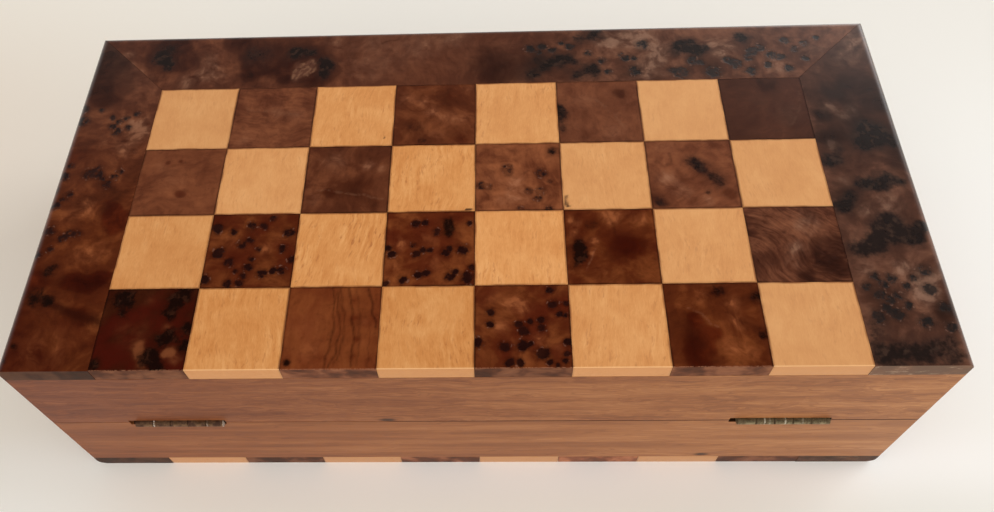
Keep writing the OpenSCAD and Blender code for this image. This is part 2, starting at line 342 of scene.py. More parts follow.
# edge is how much of the edge's tint comes through; strength makes it all lighter or darker, painted shade on
# the lower edges
def lightTop(name, edge, edgeTint, strength=1.0):
    tree = newMaterial(name)
    place = tree.attribute("grain")
    lightness, faded, vein = tree.split(tree.attribute("tone"))
    _, lively, _ = tree.split(tree.attribute("lines"))
    bent = place + tree.stray(place, 0.07) * (4.0, 3.0, 2.0)
    cloud = tree.noise(bent, 0.075)
    mottle = tree.noise(bent * (1.0, 0.6, 1.0), 0.3, 4.0, 0.65)
    line = tree.noise(bent * (1.0, 0.10, 1.0), 0.8, 3.0, 0.62)
    fleck = tree.noise(bent * (1.0, 0.22, 1.0), 1.1, 3.0, 0.6)
    fine = tree.noise(bent * (1.0, 0.12, 1.0), 4.5, 2.0, 0.6)
    lively = tree.fade(tree.noise(place, 0.06), 0.35, 0.62) * lively
    pore = tree.fade(fleck, 0.55, 0.70) * (lively * 0.8 + 0.2)
    shade = tree.fade(cloud, 0.25, 0.75) * 0.40 + (mottle - 0.5) * 1.0
    shade = shade + (line - 0.5) * (lively * 1.5 + 0.3) + 0.32
    shade = shade + (fine - 0.5) * 0.9
    colour = tree.threeTints(shade, lemon)
    colour = tree.mix(pore * 0.6, colour, lemon["pore"])
    colour = tree.mix(faded * 0.6, colour, lemon["faded"])
    colour = tree.mix(seamStain(tree, place) * 0.8, colour, lemon["stain"])
    colour = tree.mix(tree.fade(vein, 0.0, 0.7) * 0.9, colour, lemon["nick"])
    colour = tree.mix(edge, colour, lemon[edgeTint])
    colour = colour * (lightness * strength)
    height = (line - 0.5) * 0.4 - pore * 0.5
    fixed = {"Specular IOR Level": 0.22, "Coat Weight": 0.08, "Coat Roughness": 0.18}
    return tree.surface({"Base Color": colour, "Roughness": 0.36 + pore * 0.15}, fixed, height, lemon["bump"])


railLook = {
    "dark": tint(116, 68, 40),
    "middle": tint(146, 92, 54),
    "light": tint(171, 117, 74),
    "line": tint(102, 56, 32),
    "knot": tint(40, 20, 14),
    "bare": tint(176, 124, 86),
    # the mortises' dark: partly dirt and partly painted shade in the recess
    "mortiseDirtAndShade": tint(28, 17, 12),
    # painted shadow in the open part of the seam
    "seam": tint(70, 28, 16),
    "bump": 0.00004,
    # where the painted shadow of the seam and the dark of the mortises lie, in mm: their soft limits along
    # the box, above or below the seam and in depth
    "seamAcross": (-33.0, -29.0),
    "seamLevel": (0.45, 0.2),
    "seamDepth": (-74.0, -74.8),
    "mortises": (103.2, 18.0),          # their middle and half length
    "mortiseLevel": (2.4, 1.6),
    "mortiseFront": (-74.98, -74.7),
    "mortiseBack": (-72.2, -73.4),
    "softly": 0.3,
}


# how far a place is from a knot, which is longer along the grain
def fromKnot(tree, spot, knotX, knotZ, stretch):
    return tree.length(tree.maths("SUBTRACT", spot, (knotX, hingeFace * 1000, knotZ)) * stretch)


# painted shadow in the open part of the seam, and dirt with painted shade in the hinge mortises
def railShadeAndDirt(tree, colour, across, deep, upwards):
    level = abs(upwards - seamHeight * 1000)
    seam = tree.fade(level, *railLook["seamLevel"]) * tree.fade(across, *railLook["seamAcross"])
    seam = seam * tree.fade(deep, *railLook["seamDepth"])
    middle, reach = railLook["mortises"]
    beside = tree.fade(abs(abs(across) - middle), reach + railLook["softly"], reach)
    sunk = tree.fade(deep, *railLook["mortiseFront"]) * tree.fade(deep, *railLook["mortiseBack"])
    mortise = beside * tree.fade(level, *railLook["mortiseLevel"]) * sunk
    colour = tree.mix(seam * 0.8, colour, railLook["seam"])
    return tree.mix(mortise * 0.92, colour, railLook["mortiseDirtAndShade"])


# grain along X, or along Y where turned; the inner faces are left bare
def railWood(name, turned, shift, knots, look):
    tree = newMaterial(name)
    spot = tree.objectPlace() * 1000.0
    turn = math.pi / 2 if turned else 0.0
    place = tree.add("ShaderNodeMapping", {}, {"Vector": spot, "Location": shift, "Rotation": (0, 0, turn)})
    for knotX, knotZ, reach in knots:
        pull = tree.fade(fromKnot(tree, spot, knotX, knotZ, (0.35, 0.2, 1.0)), reach * 4.0, 0.0)
        place = place + (pull * pull) * (0.0, 0.0, 2.0)
    bent = place + tree.stray(place * (0.2, 1.0, 1.0), 0.055) * (0.0, 9.0, 9.0)
    bent = bent + tree.stray(place * (0.5, 1.0, 1.0), 0.12) * (0.0, look["waves"], look["waves"])
    band = tree.noise(bent * (0.05, 1.0, 1.0), 0.22)
    line = tree.noise(bent * (0.035, 1.0, 1.0), 1.3, 4.0, 0.6)
    fibre = tree.noise(bent * (0.06, 1.0, 1.0), 4.0)
    shade = tree.fade(band, 0.3, 0.7) * 0.45 + (line - 0.5) * look["lively"] + (fibre - 0.5) * 0.4 + 0.28
    rings = tree.fade(tree.rings(band, 70.0), 0.80, 1.0) * tree.fade(line, 0.40, 0.60)
    colour = tree.mix(rings * 0.45, tree.threeTints(shade, railLook), railLook["line"])
    for knotX, knotZ, reach in knots:
        away = fromKnot(tree, spot, knotX, knotZ, (0.5, 0.4, 1.0)) + (line - 0.5) * 1.2
        colour = tree.mix(tree.fade(away, reach, reach * 0.2) * 0.9, colour, railLook["knot"])
    across, deep, upwards = tree.split(spot)
    # painted light: brighter to the right as if lit from that side, and brighter on the lower rails
    colour = colour * (across * look["paintedLightRise"] + look["level"])
    colour = railShadeAndDirt(tree, colour, across, deep, upwards)
    besideX, besideY, _ = tree.split(abs(spot))
    innerX = (caseHigh.x - railThick) * 1000
    innerY = (hookFace - railThick) * 1000
    inside = tree.fade(besideX, innerX + 0.3, innerX + 0.1) * tree.fade(besideY, innerY + 0.3, innerY + 0.1)
    colour = tree.mix(inside * 0.6, colour, railLook["bare"])
    fixed = {"Specular IOR Level": 0.2, "Coat Weight": 0.0}
    roughness = 0.42 + inside * 0.2 + (fibre - 0.5) * 0.1
    varying = {"Base Color": colour, "Roughness": roughness}
    return tree.surface(varying, fixed, line + fibre * 0.5, railLook["bump"])


boardWood = {
    "dark": tint(166, 112, 72),
    "middle": tint(188, 136, 94),
    "light": tint(206, 158, 114),
    "bump": 0.00005,
}


def bareBoard():
    tree = newMaterial("bare_ground_board")
    place = tree.objectPlace() * 1000.0
    bent = place + tree.stray(place * (0.15, 1.0, 1.0), 0.03) * (0.0, 14.0, 0.0)
    band = tree.noise(bent * (0.04, 1.0, 1.0), 0.09)
    line = tree.noise(bent * (0.03, 1.0, 1.0), 1.1, 4.0, 0.6)
    colour = tree.threeTints(tree.rings(band, 90.0) * 0.3 + (line - 0.5) * 1.0 + 0.35, boardWood)
    varying = {"Base Color": colour, "Roughness": 0.58 + (line - 0.5) * 0.2}
    return tree.surface(varying, {"Specular IOR Level": 0.3}, line, boardWood["bump"])


# Metals

# where the knuckles start, in mm from the box's face, and how far a mark on them reaches
knuckleLook = {"start": (0.4, -0.1), "bright": (0.36, 0.14), "dirty": (0.5, 0.3)}


def agedMetal(name, look):
    tree = newMaterial(name)
    place = tree.objectPlace() * 1000.0
    blotch = tree.noise(place, look["blotch"], 4.0, 0.65)
    scratch = tree.noise(place * (1.0, 6.0, 6.0), 1.6, 3.0, 0.6)
    stained = tree.fade(blotch + (scratch - 0.5) * 0.3, *look["stained"])
    across, deep, _ = tree.split(place)
    knuckle = tree.fade(deep, *[hingeFace * 1000 + away for away in knuckleLook["start"]])
    bright = 0.0
    for joint, strength in look.get("marks", []):
        away = abs(across - joint)
        if strength > 0:
            bright = bright + tree.fade(away, *knuckleLook["bright"]) * strength * knuckle
        else:
            stained = stained + tree.fade(away, *knuckleLook["dirty"]) * knuckle * (0.0 - strength)
    colour = tree.mix(stained, look["clean"], look["stain"])
    if "marks" in look:
        # the bright marks are a painted highlight: a pale, less metallic tint where the knuckles are worn
        bright = bright * (tree.fade(tree.noise(place, 1.4), 0.35, 0.60) * 0.8 + 0.2)
        colour = tree.mix(bright, colour, look["gleam"])
        stained = stained + bright
    varying = {
        "Base Color": colour,
        "Metallic": 1.0 - stained * look["dulled"],
        "Roughness": look["roughness"] + stained * 0.25 + (scratch - 0.5) * 0.15,
    }
    return tree.surface(varying, {"Specular IOR Level": 0.4}, blotch + scratch * 0.4, look["bump"])


# marks are places on the knuckles, at so many mm along the box, with how strong they are: bright, which is a
# painted highlight on worn metal, or dark with dirt where below 0
hingeLooks = {
    "left": {
        "clean": tint(156, 122, 92), "stain": tint(74, 46, 30), "gleam": tint(226, 216, 204), "blotch": 0.3,
        "stained": (0.30, 0.60), "dulled": 0.75, "roughness": 0.42, "bump": 0.00003,
        "marks": [(-112.9, 0.75), (-94.1, 0.25), (-88.4, 0.85), (-100.2, -0.9), (-106.5, -0.4)],
    },
    "right": {
        "clean": tint(162, 148, 116), "stain": tint(98, 82, 58), "gleam": tint(206, 200, 180), "blotch": 0.5,
        "stained": (0.38, 0.66), "dulled": 0.6, "roughness": 0.42, "bump": 0.00003,
        "marks": [(94.8, -1.0), (101.0, -1.0), (107.0, -0.5), (113.2, -1.0), (104.5, 0.7), (97.6, 0.6),
                  (110.3, 0.3), (99.3, 0.4)],
    },
}
brassLook = {
    "clean": tint(204, 166, 94), "stain": tint(116, 84, 44), "blotch": 0.45,
    "stained": (0.48, 0.74), "dulled": 0.35, "roughness": 0.28, "bump": 0.00003,
}


# Shapes

sharpAngle = math.radians(32)          # faces that meet at more than this keep a crisp edge


def addObject(name, data):
    thing = bpy.data.objects.new(name, data)
    bpy.context.scene.collection.objects.link(thing)
    return thing


def meshObject(bm, name):
    mesh = bpy.data.meshes.new(name)
    bm.to_mesh(mesh)
    bm.free()
    return addObject(name, mesh)


# a new piece of the board takes the place of a CAD node
def finishPiece(bm, node, body, materials):
    piece = meshObject(bm, f"{node}_piece")
    for material in materials:
        piece.data.materials.append(material)
    piece.data.shade_smooth()
    piece.data.set_sharp_from_angle(angle=sharpAngle)
    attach(piece, body)
    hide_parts(node)
    return piece


def addBlock(bm, low, high):
    verts = bmesh.ops.create_cube(bm, size=1)["verts"]
    bmesh.ops.scale(bm, vec=high - low, verts=verts)
    bmesh.ops.translate(bm, vec=(low + high) / 2, verts=verts)


def bevelEdges(bm, edges, width, segments):
    bmesh.ops.bevel(bm, geom=edges, offset=width, segments=segments, profile=0.5, affect="EDGES",
                    material=-1, clamp_overlap=True)


# a board lies face up at z = 0 while it is made; this lays it on its half of the box
def layOnHalf(bm, half):
    if half == "upper":
        bmesh.ops.translate(bm, vec=(0, 0, caseTop), verts=bm.verts)
    else:
        bmesh.ops.scale(bm, vec=(1, 1, -1), verts=bm.verts)
        bmesh.ops.reverse_faces(bm, faces=bm.faces)


# how far a place lies from the nearest part of a bent line
def awayFrom(x, y, points):
    nearest = 1e9
    for (startX, startY), (endX, endY) in zip(points, points[1:]):
        alongX = endX - startX
        alongY = endY - startY
        part = ((x - startX) * alongX + (y - startY) * alongY) / (alongX * alongX + alongY * alongY)
        part = min(max(part, 0.0), 1.0)
        nearest = min(nearest, math.hypot(x - startX - part * alongX, y - startY - part * alongY))
    return nearest


def isNear(x, y, markX, markY, reach):
    return abs(x - markX) <= 3 * reach and abs(y - markY) <= 3 * reach


# how strong each kind of mark is at a place, and how far the twists of the fibres push it. Marks come in
# lists by kind, all in mm: (points, width, strength) for dark veins and pale threads, and
# (x, y, reach, strength) for round eyes, black patches, pale parts, shadows and twists.
def figureAt(x, y, marks):
    found = {"dark": 0.0, "pale": 0.0, "shadow": 0.0, "eye": -1.0, "vein": 0.0, "thread": 0.0}
    spot = Vector((x, y, 0.0))
    stray = noise.noise_vector(spot * 0.24) * 1.5 + noise.noise_vector(spot * 0.8) * 0.4
    for kind in ("vein", "thread"):
        for points, width, strength in marks.get(kind, []):
            away = awayFrom(x + stray.x * 0.5, y + stray.y * 0.5, points)
            found[kind] = max(found[kind], strength * (1.0 - away / width))
    for eyeX, eyeY, radius, depth in marks.get("eye", []):
        if isNear(x, y, eyeX, eyeY, radius):
            away = math.hypot(x + stray.x * 0.2 - eyeX, y + stray.y * 0.2 - eyeY)
            found["eye"] = max(found["eye"], min(depth, 1.0 - away / radius))
    for kind in ("dark", "pale", "shadow"):
        for markX, markY, reach, strength in marks.get(kind, []):
            if isNear(x, y, markX, markY, reach):
                soft = min(reach / 4, 1)
                offX = x + stray.x * soft - markX
                offY = y + stray.y * soft - markY
                found[kind] += strength * math.exp(-(offX * offX + offY * offY) / (reach * reach))
    pushX = pushY = 0.0
    for markX, markY, reach, strength in marks.get("twist", []):
        if isNear(x, y, markX, markY, reach):
            offX = x - markX
            offY = y - markY
            turn = strength * math.exp(-(offX * offX + offY * offY) / (reach * reach))
            pushX += offX * (math.cos(turn) - 1) - offY * math.sin(turn)
            pushY += offX * math.sin(turn) + offY * (math.cos(turn) - 1)
    return found, pushX, pushY


# Board

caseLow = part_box("upper_left_border")[0]
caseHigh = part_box("upper_right_border")[1]
caseTop = caseHigh.z
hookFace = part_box("upper_hook_border")[1].y
hingeFace = caseLow.y
squareLow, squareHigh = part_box("upper_dark_squares_row_1")
squareSide = squareHigh.y - squareLow.y
squarePitch = abs(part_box("upper_light_squares_row_1")[0].x - squareLow.x)
tileThick = squareHigh.z - squareLow.z
glueGap = squarePitch - squareSide
seamHeight = caseTop / 2
boardLength = (caseHigh.x - caseLow.x) * 1000          # these two in mm
boardDepth = (hookFace - hingeFace) * 1000
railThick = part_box("upper_hinge_rail")[1].y - hingeFace

boardLook = {
    "softEdge": 0.0003,          # wear of the free edge above the hinges
    "softCuts": 3,
    "roundOver": {"upper": 0.003, "lower": 0.0045},
    "roundCuts": 9,
    "cornerRadius": 0.001,          # of the box's upright corners
    "cells": {True: 40, False: 56},          # across a light or a dark square, whose mesh carries its figure
    "borderCell": {"upper": 0.0007, "lower": 0.0014},
    "unstained": -13.0,          # mm from a square's middle towards its free edge, which has no stain
    "seed": 11,
}

# light squares of the upper board by row and column: their lightness, how faded and how lively they are
lightSquares = {
    (1, 2): (0.98, 0.0, 0.7), (1, 4): (0.96, 0.0, 0.9), (1, 6): (1.02, 0.3, 1.0), (1, 8): (0.98, 0.7, 0.8),
    (2, 1): (0.96, 0.2, 0.6), (2, 3): (1.02, 0.1, 1.5), (2, 5): (1.07, 0.2, 1.0), (2, 7): (1.01, 0.6, 0.8),
    (3, 2): (1.02, 0.5, 0.6), (3, 4): (1.02, 0.1, 1.0), (3, 6): (1.01, 0.6, 0.6), (3, 8): (0.98, 0.7, 0.4),
    (4, 1): (0.97, 0.6, 0.5), (4, 3): (1.02, 0.2, 0.7), (4, 5): (1.03, 0.4, 1.1), (4, 7): (1.0, 0.8, 0.6),
}
# their nicks and small knots, which are short veins
lightNicks = {
    (3, 6): [([(31.2, -9), (30.7, -11), (31.2, -13.5)], 0.7, 0.8), ([(30.6, -13), (32, -14)], 0.6, 0.8)],
    (3, 4): [([(-3.2, -14.3), (-1.2, -14.2)], 0.7, 0.9)],
    (4, 3): [([(-33.2, 19.2), (-32.8, 19)], 0.7, 1)],
    (2, 3): [([(-59, -42.3), (-58.2, -42.5)], 0.5, 0.7)],
}

# dark squares of the upper board: lightness, redness, silk, grain direction and marks
darkSquares = {
    (1, 1): (0.42, 1.0, 0.0, 20, {
        "dark": [(-113, -49, 3.4, 1.1), (-113.5, -54.5, 2.2, 0.9), (-98, -54, 2.8, 1.1),
                 (-97, -49, 3.4, 0.9), (-97.5, -63, 3.4, 1.2), (-91.5, -60, 2.6, 1.1), (-91, -66, 2.6, 1.1),
                 (-101.5, -70.5, 3.6, 1.2), (-98, -74, 2.6, 1), (-119, -72.5, 2.6, 0.9),
                 (-94, -46, 3.4, 0.9), (-117, -47, 5, 0.45)],
        "pale": [(-105.5, -66.5, 2.2, 0.8), (-104.6, -70, 2, 0.9), (-103.6, -73, 1.8, 0.8),
                 (-98, -59, 1.6, 0.6), (-96, -68.5, 2, 0.7), (-93, -71.5, 2, 0.6), (-109, -61, 6, 0.3),
                 (-95, -69, 2, 0.5), (-105, -49, 3, 0.3)]}),
    (1, 3): (1.28, 0.3, 0.1, 2, {
        "dark": [(-58, -72.5, 1.5, 0.85)],
        "pale": [(-35, -58, 1.8, 0.35), (-34.8, -66, 1.8, 0.35), (-51, -70, 5, 0.3), (-53, -60, 8, 0.3)],
        "shadow": [(-38.5, -50, 2.4, 0.5), (-37.5, -57, 2.4, 0.5), (-37, -64, 2.4, 0.5),
                   (-37.5, -71, 2.4, 0.5), (-32, -57, 2.4, 0.5), (-32, -64, 2.4, 0.4), (-33, -50, 4, 0.4),
                   (-34, -68, 5, 0.3), (-44, -48, 4, 0.3), (-43, -58, 5, 0.3), (-43, -68, 5, 0.3)],
        "vein": [([(-46, -45.5), (-44.9, -52), (-44.6, -60), (-45.2, -67), (-46.5, -74.5)], 0.95, 0.62),
                 ([(-44.2, -47), (-43.2, -55), (-42.4, -62), (-43, -68), (-45, -74.5)], 0.95, 0.6),
                 ([(-43.6, -45.5), (-42, -53), (-40.9, -60), (-41.3, -66), (-43.2, -73)], 0.95, 0.55),
                 ([(-40.5, -45.5), (-38.8, -55), (-37.8, -64), (-38.2, -74)], 1.1, 0.65),
                 ([(-38, -46), (-36.6, -56), (-35.8, -66), (-36, -74)], 1, 0.45),
                 ([(-34.5, -45.5), (-32.5, -53), (-31, -60)], 0.9, 0.7),
                 ([(-33.2, -58), (-32.6, -68), (-33, -74)], 0.7, 0.4),
                 ([(-48.5, -46), (-48, -56), (-48.6, -66), (-49.5, -74)], 1.6, 0.22)]}),
    (1, 5): (1.0, 0.5, 0.0, 60, {
        "pale": [(11, -52.5, 3, 0.6), (16, -53.5, 2.4, 0.5), (14, -51, 2, 0.4), (5, -50, 4, 0.3),
                 (8, -60, 3, 0.4), (20, -65, 3, 0.4), (26, -68, 2, 0.4)],
        "shadow": [(27, -60, 6, 0.4), (3, -71, 5, 0.4), (12, -47, 4, 0.4)]}),
    (1, 7): (1.0, 0.08, 0.1, 100, {
        "dark": [(77, -48, 3.4, 0.85), (89, -63, 3, 0.75), (89.5, -50, 3, 0.75), (69, -66, 4, 0.35)],
        "pale": [(81, -53, 3.5, 0.4), (82, -60, 3, 0.5), (79, -68, 3.5, 0.4), (72, -50, 3, 0.3),
                 (84, -71, 3, 0.3)],
        "shadow": [(69, -66, 5.5, 1.1), (68.5, -58, 3, 0.9), (74, -63, 3, 0.8), (68, -72, 5, 0.9),
                   (76.5, -49, 4, 0.6), (87, -57, 3, 0.5), (88, -72, 3, 0.6)],
        "thread": [([(67, -54), (71, -56.5), (73.5, -60), (75.5, -61)], 0.8, 0.5)]}),
    (2, 2): (0.96, 0.4, 0.0, 80, {
        "pale": [(-70, -30, 2.6, 0.45), (-83, -26, 3, 0.35), (-66, -25, 3, 0.3)],
        "shadow": [(-64, -19, 4, 0.5), (-87, -40, 5, 0.5), (-74, -38, 6, 0.3)]}),
    (2, 4): (1.06, 0.4, 0.0, 80, {
        "dark": [(-9, -20, 2.8, 0.95), (-8.5, -24, 2.2, 0.7)],
        "pale": [(-25, -28, 2.6, 0.6), (-26, -37, 3, 0.3), (-13, -36, 4, 0.4), (-16, -26, 4, 0.3)],
        "shadow": [(-2, -41, 4, 0.6)]}),
    (2, 6): (0.96, 0.3, 0.05, 120, {
        "dark": [(34.5, -30, 2.8, 1.1), (34.3, -34.5, 2.6, 1), (33, -38, 2, 0.5), (39, -21, 2.6, 0.65)],
        "pale": [(46, -18.5, 4, 0.6), (55, -19, 4, 0.45), (33, -20, 2.5, 0.6), (33, -25, 2, 0.4),
                 (39.5, -28, 1.6, 0.6), (38.5, -33, 1.4, 0.5), (41, -41, 4, 0.3)],
        "shadow": [(48, -31, 7, 0.8), (55, -30, 5, 0.5)],
        "vein": [([(45.5, -19), (46.5, -24), (47.5, -28)], 1, 0.5)],
        "thread": [([(36.5, -39.5), (38.5, -34), (40, -31)], 0.6, 0.6)]}),
    (2, 8): (1.06, -0.42, 0.9, 50, {
        "pale": [(105, -32, 3.5, 0.5), (110, -22, 5, 0.5), (102, -38, 3, 0.4)],
        "shadow": [(113, -36, 5, 1), (118, -30, 5, 0.9), (106, -42.5, 3, 0.9), (111, -29, 3, 0.6),
                   (117, -41, 6, 0.6), (94, -22, 4, 0.5), (97, -28, 3, 0.5)],
        "twist": [(100, -36, 12, 0.35)]}),
    (3, 1): (1.26, -0.25, 0.0, 100, {
        "pale": [(-113, 7, 3, 0.25), (-108, 0, 6, 0.25)],
        "shadow": [(-110.5, 9, 1.7, 0.8), (-106, 9, 1.5, 0.8), (-103.5, -5.5, 2.2, 0.9), (-119, 3, 3, 0.6),
                   (-96, 4, 5, 0.3), (-97, -6, 5, 0.25), (-100, 12, 3, 0.5)]}),
    (3, 3): (1.01, -0.25, 0.15, 170, {
        "pale": [(-50, 8, 5, 0.4), (-38, 6, 2.5, 0.5), (-33, 4, 1.8, 0.45), (-56, -9, 3, 0.3)],
        "shadow": [(-51, -6.5, 3, 0.7), (-36, -2, 7, 0.55), (-45, -4, 6, 0.45), (-33, -12, 4, 0.4)],
        "thread": [([(-60, -4.2), (-52, -5), (-44, -6.5), (-38, -7.5), (-32, -9.2)], 0.9, 0.5),
                   ([(-57, 9), (-52, 7)], 0.7, 0.4)]}),
    (3, 5): (1.36, -0.22, 0.2, 5, {
        "dark": [(27.5, 11, 2.4, 0.9)],
        "pale": [(13, -2, 4, 0.5), (15, -9, 4, 0.5), (5, 0, 3, 0.3), (9, -11, 3, 0.35)],
        "shadow": [(27, 2, 4, 0.5), (26, -10, 4, 0.4), (4, 11, 4, 0.3)],
        "vein": [([(3, 12), (9, 14), (14, 11), (15, 6)], 1.8, 0.35),
                 ([(6, 8), (9, 9.5), (11, 6.5)], 1.4, 0.3)]}),
    (3, 7): (1.29, -0.32, 0.1, 130, {
        "dark": [(75.5, 6, 3, 0.62), (78.5, 3, 3, 0.68), (81.5, -1, 3, 0.62), (84, -4, 3, 0.5),
                 (63, -12, 2.6, 0.7), (79.5, -8.5, 1.3, 0.8)],
        "pale": [(66, -2, 4, 0.4), (71, -8, 4, 0.35), (79, -12, 2.5, 0.5), (68, 12, 4, 0.25)],
        "shadow": [(80, 1, 6, 0.5), (86.5, -9, 4, 0.8), (64, -13, 4, 0.6), (71, 12, 4, 0.4),
                   (60.5, -10, 3, 0.6)],
        "vein": [([(63, 6), (66, 3.5), (68.5, 5), (68.5, 9)], 1.4, 0.5)]}),
    (4, 2): (1.25, -0.3, 0.4, 88, {
        "pale": [(-74, 32.5, 4, 0.3), (-66, 30.5, 4, 0.3), (-84, 19, 5, 0.25)],
        "shadow": [(-84, 42, 6, 0.4), (-87, 31, 4, 0.4), (-64, 24, 4, 0.6), (-63, 36, 3, 0.4)],
        "thread": [([(-86, 34), (-76, 33), (-66, 30.5)], 1.6, 0.35)]}),
    (4, 4): (1.0, -0.15, 0.1, 40, {
        "dark": [(-22, 23.5, 3, 0.6), (-19, 17, 2.2, 0.6)],
        "pale": [(-26, 38, 3.5, 0.4), (-20, 36, 3, 0.45), (-16, 31, 3, 0.5), (-10, 28, 3.5, 0.5),
                 (-4, 27.5, 3, 0.4), (-14, 20, 3, 0.3), (-3, 42, 3, 0.3)],
        "shadow": [(-10, 38, 6, 0.6), (-18, 41, 3, 0.4), (-5, 18, 6, 0.7), (-28, 28, 3, 0.5)]}),
    (4, 6): (1.22, -0.36, 0.05, 10, {
        "dark": [(31, 31, 2.4, 1.1), (31, 27, 2.2, 0.9), (31.5, 22, 2.2, 0.75)],
        "pale": [(50, 20, 5, 0.3), (40, 36, 5, 0.25)],
        "shadow": [(53, 38.5, 3.4, 0.9), (38, 18, 4, 0.3)],
        "thread": [([(44, 36), (50, 29), (54, 21)], 1.1, 0.4), ([(56, 34), (51, 28)], 0.9, 0.3)]}),
    (4, 8): (0.83, -0.5, 0.1, 95, {
        "pale": [(112, 27, 6, 0.25), (103, 34, 4, 0.15)],
        "shadow": [(107, 41, 6, 0.8), (96, 25, 6, 0.35)],
        "thread": [([(113, 22), (117, 29), (119, 38)], 1.2, 0.3)]}),
}
# how plain the wood of some squares is, from 0 to 1
plainSquares = {(1, 1): 0.4, (1, 3): 0.85, (3, 1): 0.5, (3, 3): 0.25, (3, 7): 0.2, (4, 2): 0.4, (4, 4): 0.15,
                (4, 6): 0.55, (4, 8): 0.6}
# single eyes of the dark squares: place and radius in mm, and how deep they are where they are faint
squareEyes = {
    (1, 5): [(0.8, -66, 1.6), (5, -55, 1.2), (5, -59.5, 1.2), (24, -47, 1.2), (25, -52.5, 1.4),
             (26.5, -56, 0.9), (29, -52, 0.9), (28.5, -56.5, 0.8), (14, -59.5, 1.3), (15.3, -62, 1.5),
             (17.5, -58.5, 1), (21, -58, 1.2), (21, -61, 1.2), (9.5, -67.5, 1.5), (15, -67, 1.7),
             (17.5, -66.5, 0.9), (21, -70, 1.8), (23, -73, 1), (11, -73, 1.5), (14, -73, 1.2),
             (29, -66, 1.2), (28.5, -70, 0.9), (27.8, -72.5, 1), (25.5, -74, 0.8)],
    (2, 2): [(-87.5, -21, 1.7), (-76, -20, 1.4), (-72, -20, 1.2), (-82, -22.5, 1.2), (-78.5, -27.5, 1.4),
             (-76, -26, 1.2), (-86, -31, 1.8), (-72.5, -29.5, 1), (-63, -23, 1.6), (-64.5, -29.5, 1.3),
             (-61, -34, 1.2), (-82, -35, 1.5), (-74.5, -33.5, 0.9), (-75, -37, 1.4), (-79, -38.5, 0.9),
             (-76.5, -40, 1.1), (-89, -41.5, 1.7), (-81, -43.5, 1.3), (-77, -43, 1.2), (-70, -39.5, 1.6),
             (-66.5, -38.5, 1.2), (-64, -38.5, 1.4), (-69, -17, 1)],
    (2, 4): [(-20, -20, 1.3), (-17, -19.5, 1.1), (-13, -23.5, 1.3), (-20.5, -29, 1), (-19.5, -32.5, 1.3),
             (-17, -31, 1.1), (-15, -31, 0.9), (-9.5, -32, 1.5), (-8.5, -30.5, 1), (-4, -31, 1.7),
             (-29, -30, 1.2), (-27.5, -32.5, 1.3), (-18.5, -40.5, 1.4), (-16, -40, 1.1), (-23.5, -42.5, 1.4),
             (-8, -41.5, 1.5), (-6.5, -39.5, 1.1), (-2.5, -42, 2), (-1, -38, 1.1), (-29, -44, 1),
             (-2, -20, 0.9)],
    (3, 5): [(11, 3.5, 1.5), (11.5, 1.5, 1.1), (23, 1, 1.5), (2, -3.8, 1.4), (4.3, -4.5, 1.1),
             (18.5, -6.5, 1.1), (22.5, -6.8, 1.4), (21.5, -10, 1.1), (15.5, -14, 0.9), (25, -14.5, 1.1),
             (26, -2.5, 0.6)],
}
faintEyes = {(3, 5): -0.12, (2, 2): 0.2, (2, 4): 0.25}


# the figure of the lower board comes from the seeded draws; lengths are in mm
drawnDark = {
    "count": 7,
    "kinds": ["dark", "pale", "pale", "twist"],
    "spread": 14,          # from the middle of the square
    "reaches": (2, 6),
    "strengths": (0.3, 0.9),
    "eyeCounts": [0, 0, 6, 22],
    "eyeSpread": 15,
    "eyeRadii": (0.8, 1.7),
    "lightness": (0.7, 1.2),
    "redness": (0.1, 0.8),
    "silk": [0, 0.1, 0.6],
}
drawnLight = {"lightness": (0.95, 1.03), "faded": 0.3, "lively": 0.8}
drawnBorder = {
    "count": 50,
    "kinds": ["dark", "dark", "pale", "eye", "eye", "twist"],
    "reaches": (1.2, 5),
    "strengths": (0.4, 1.1),
}
lightAngles = (-8, 8)          # how far the grain of a light square may be turned, in degrees


def anyMarks(draw, low, high, drawn):
    marks = {}
    for _ in range(drawn["count"]):
        kind = draw.choice(drawn["kinds"])
        mark = (draw.uniform(low[0], high[0]), draw.uniform(low[1], high[1]),
                draw.uniform(*drawn["reaches"]), draw.uniform(*drawn["strengths"]))
        marks.setdefault(kind, []).append(mark)
    return marks


def anyDarkSquare(draw, centreX, centreY):
    spread = drawnDark["spread"]
    low = (centreX - spread, centreY - spread)
    high = (centreX + spread, centreY + spread)
    marks = anyMarks(draw, low, high, drawnDark)
    spread = drawnDark["eyeSpread"]
    marks["eye"] = [
        (centreX + draw.uniform(-spread, spread), centreY + draw.uniform(-spread, spread),
         draw.uniform(*drawnDark["eyeRadii"]), 1)
        for _ in range(draw.choice(drawnDark["eyeCounts"]))
    ]
    light = draw.uniform(*drawnDark["lightness"])
    red = draw.uniform(*drawnDark["redness"])
    silk = draw.choice(drawnDark["silk"])
    return light, red, silk, draw.uniform(0, 180), marks


# somewhere else in a plank, in mm, so that no two pieces look alike
def anyShift(draw):
    return tuple(draw.uniform(-900, 900) for _ in range(3))


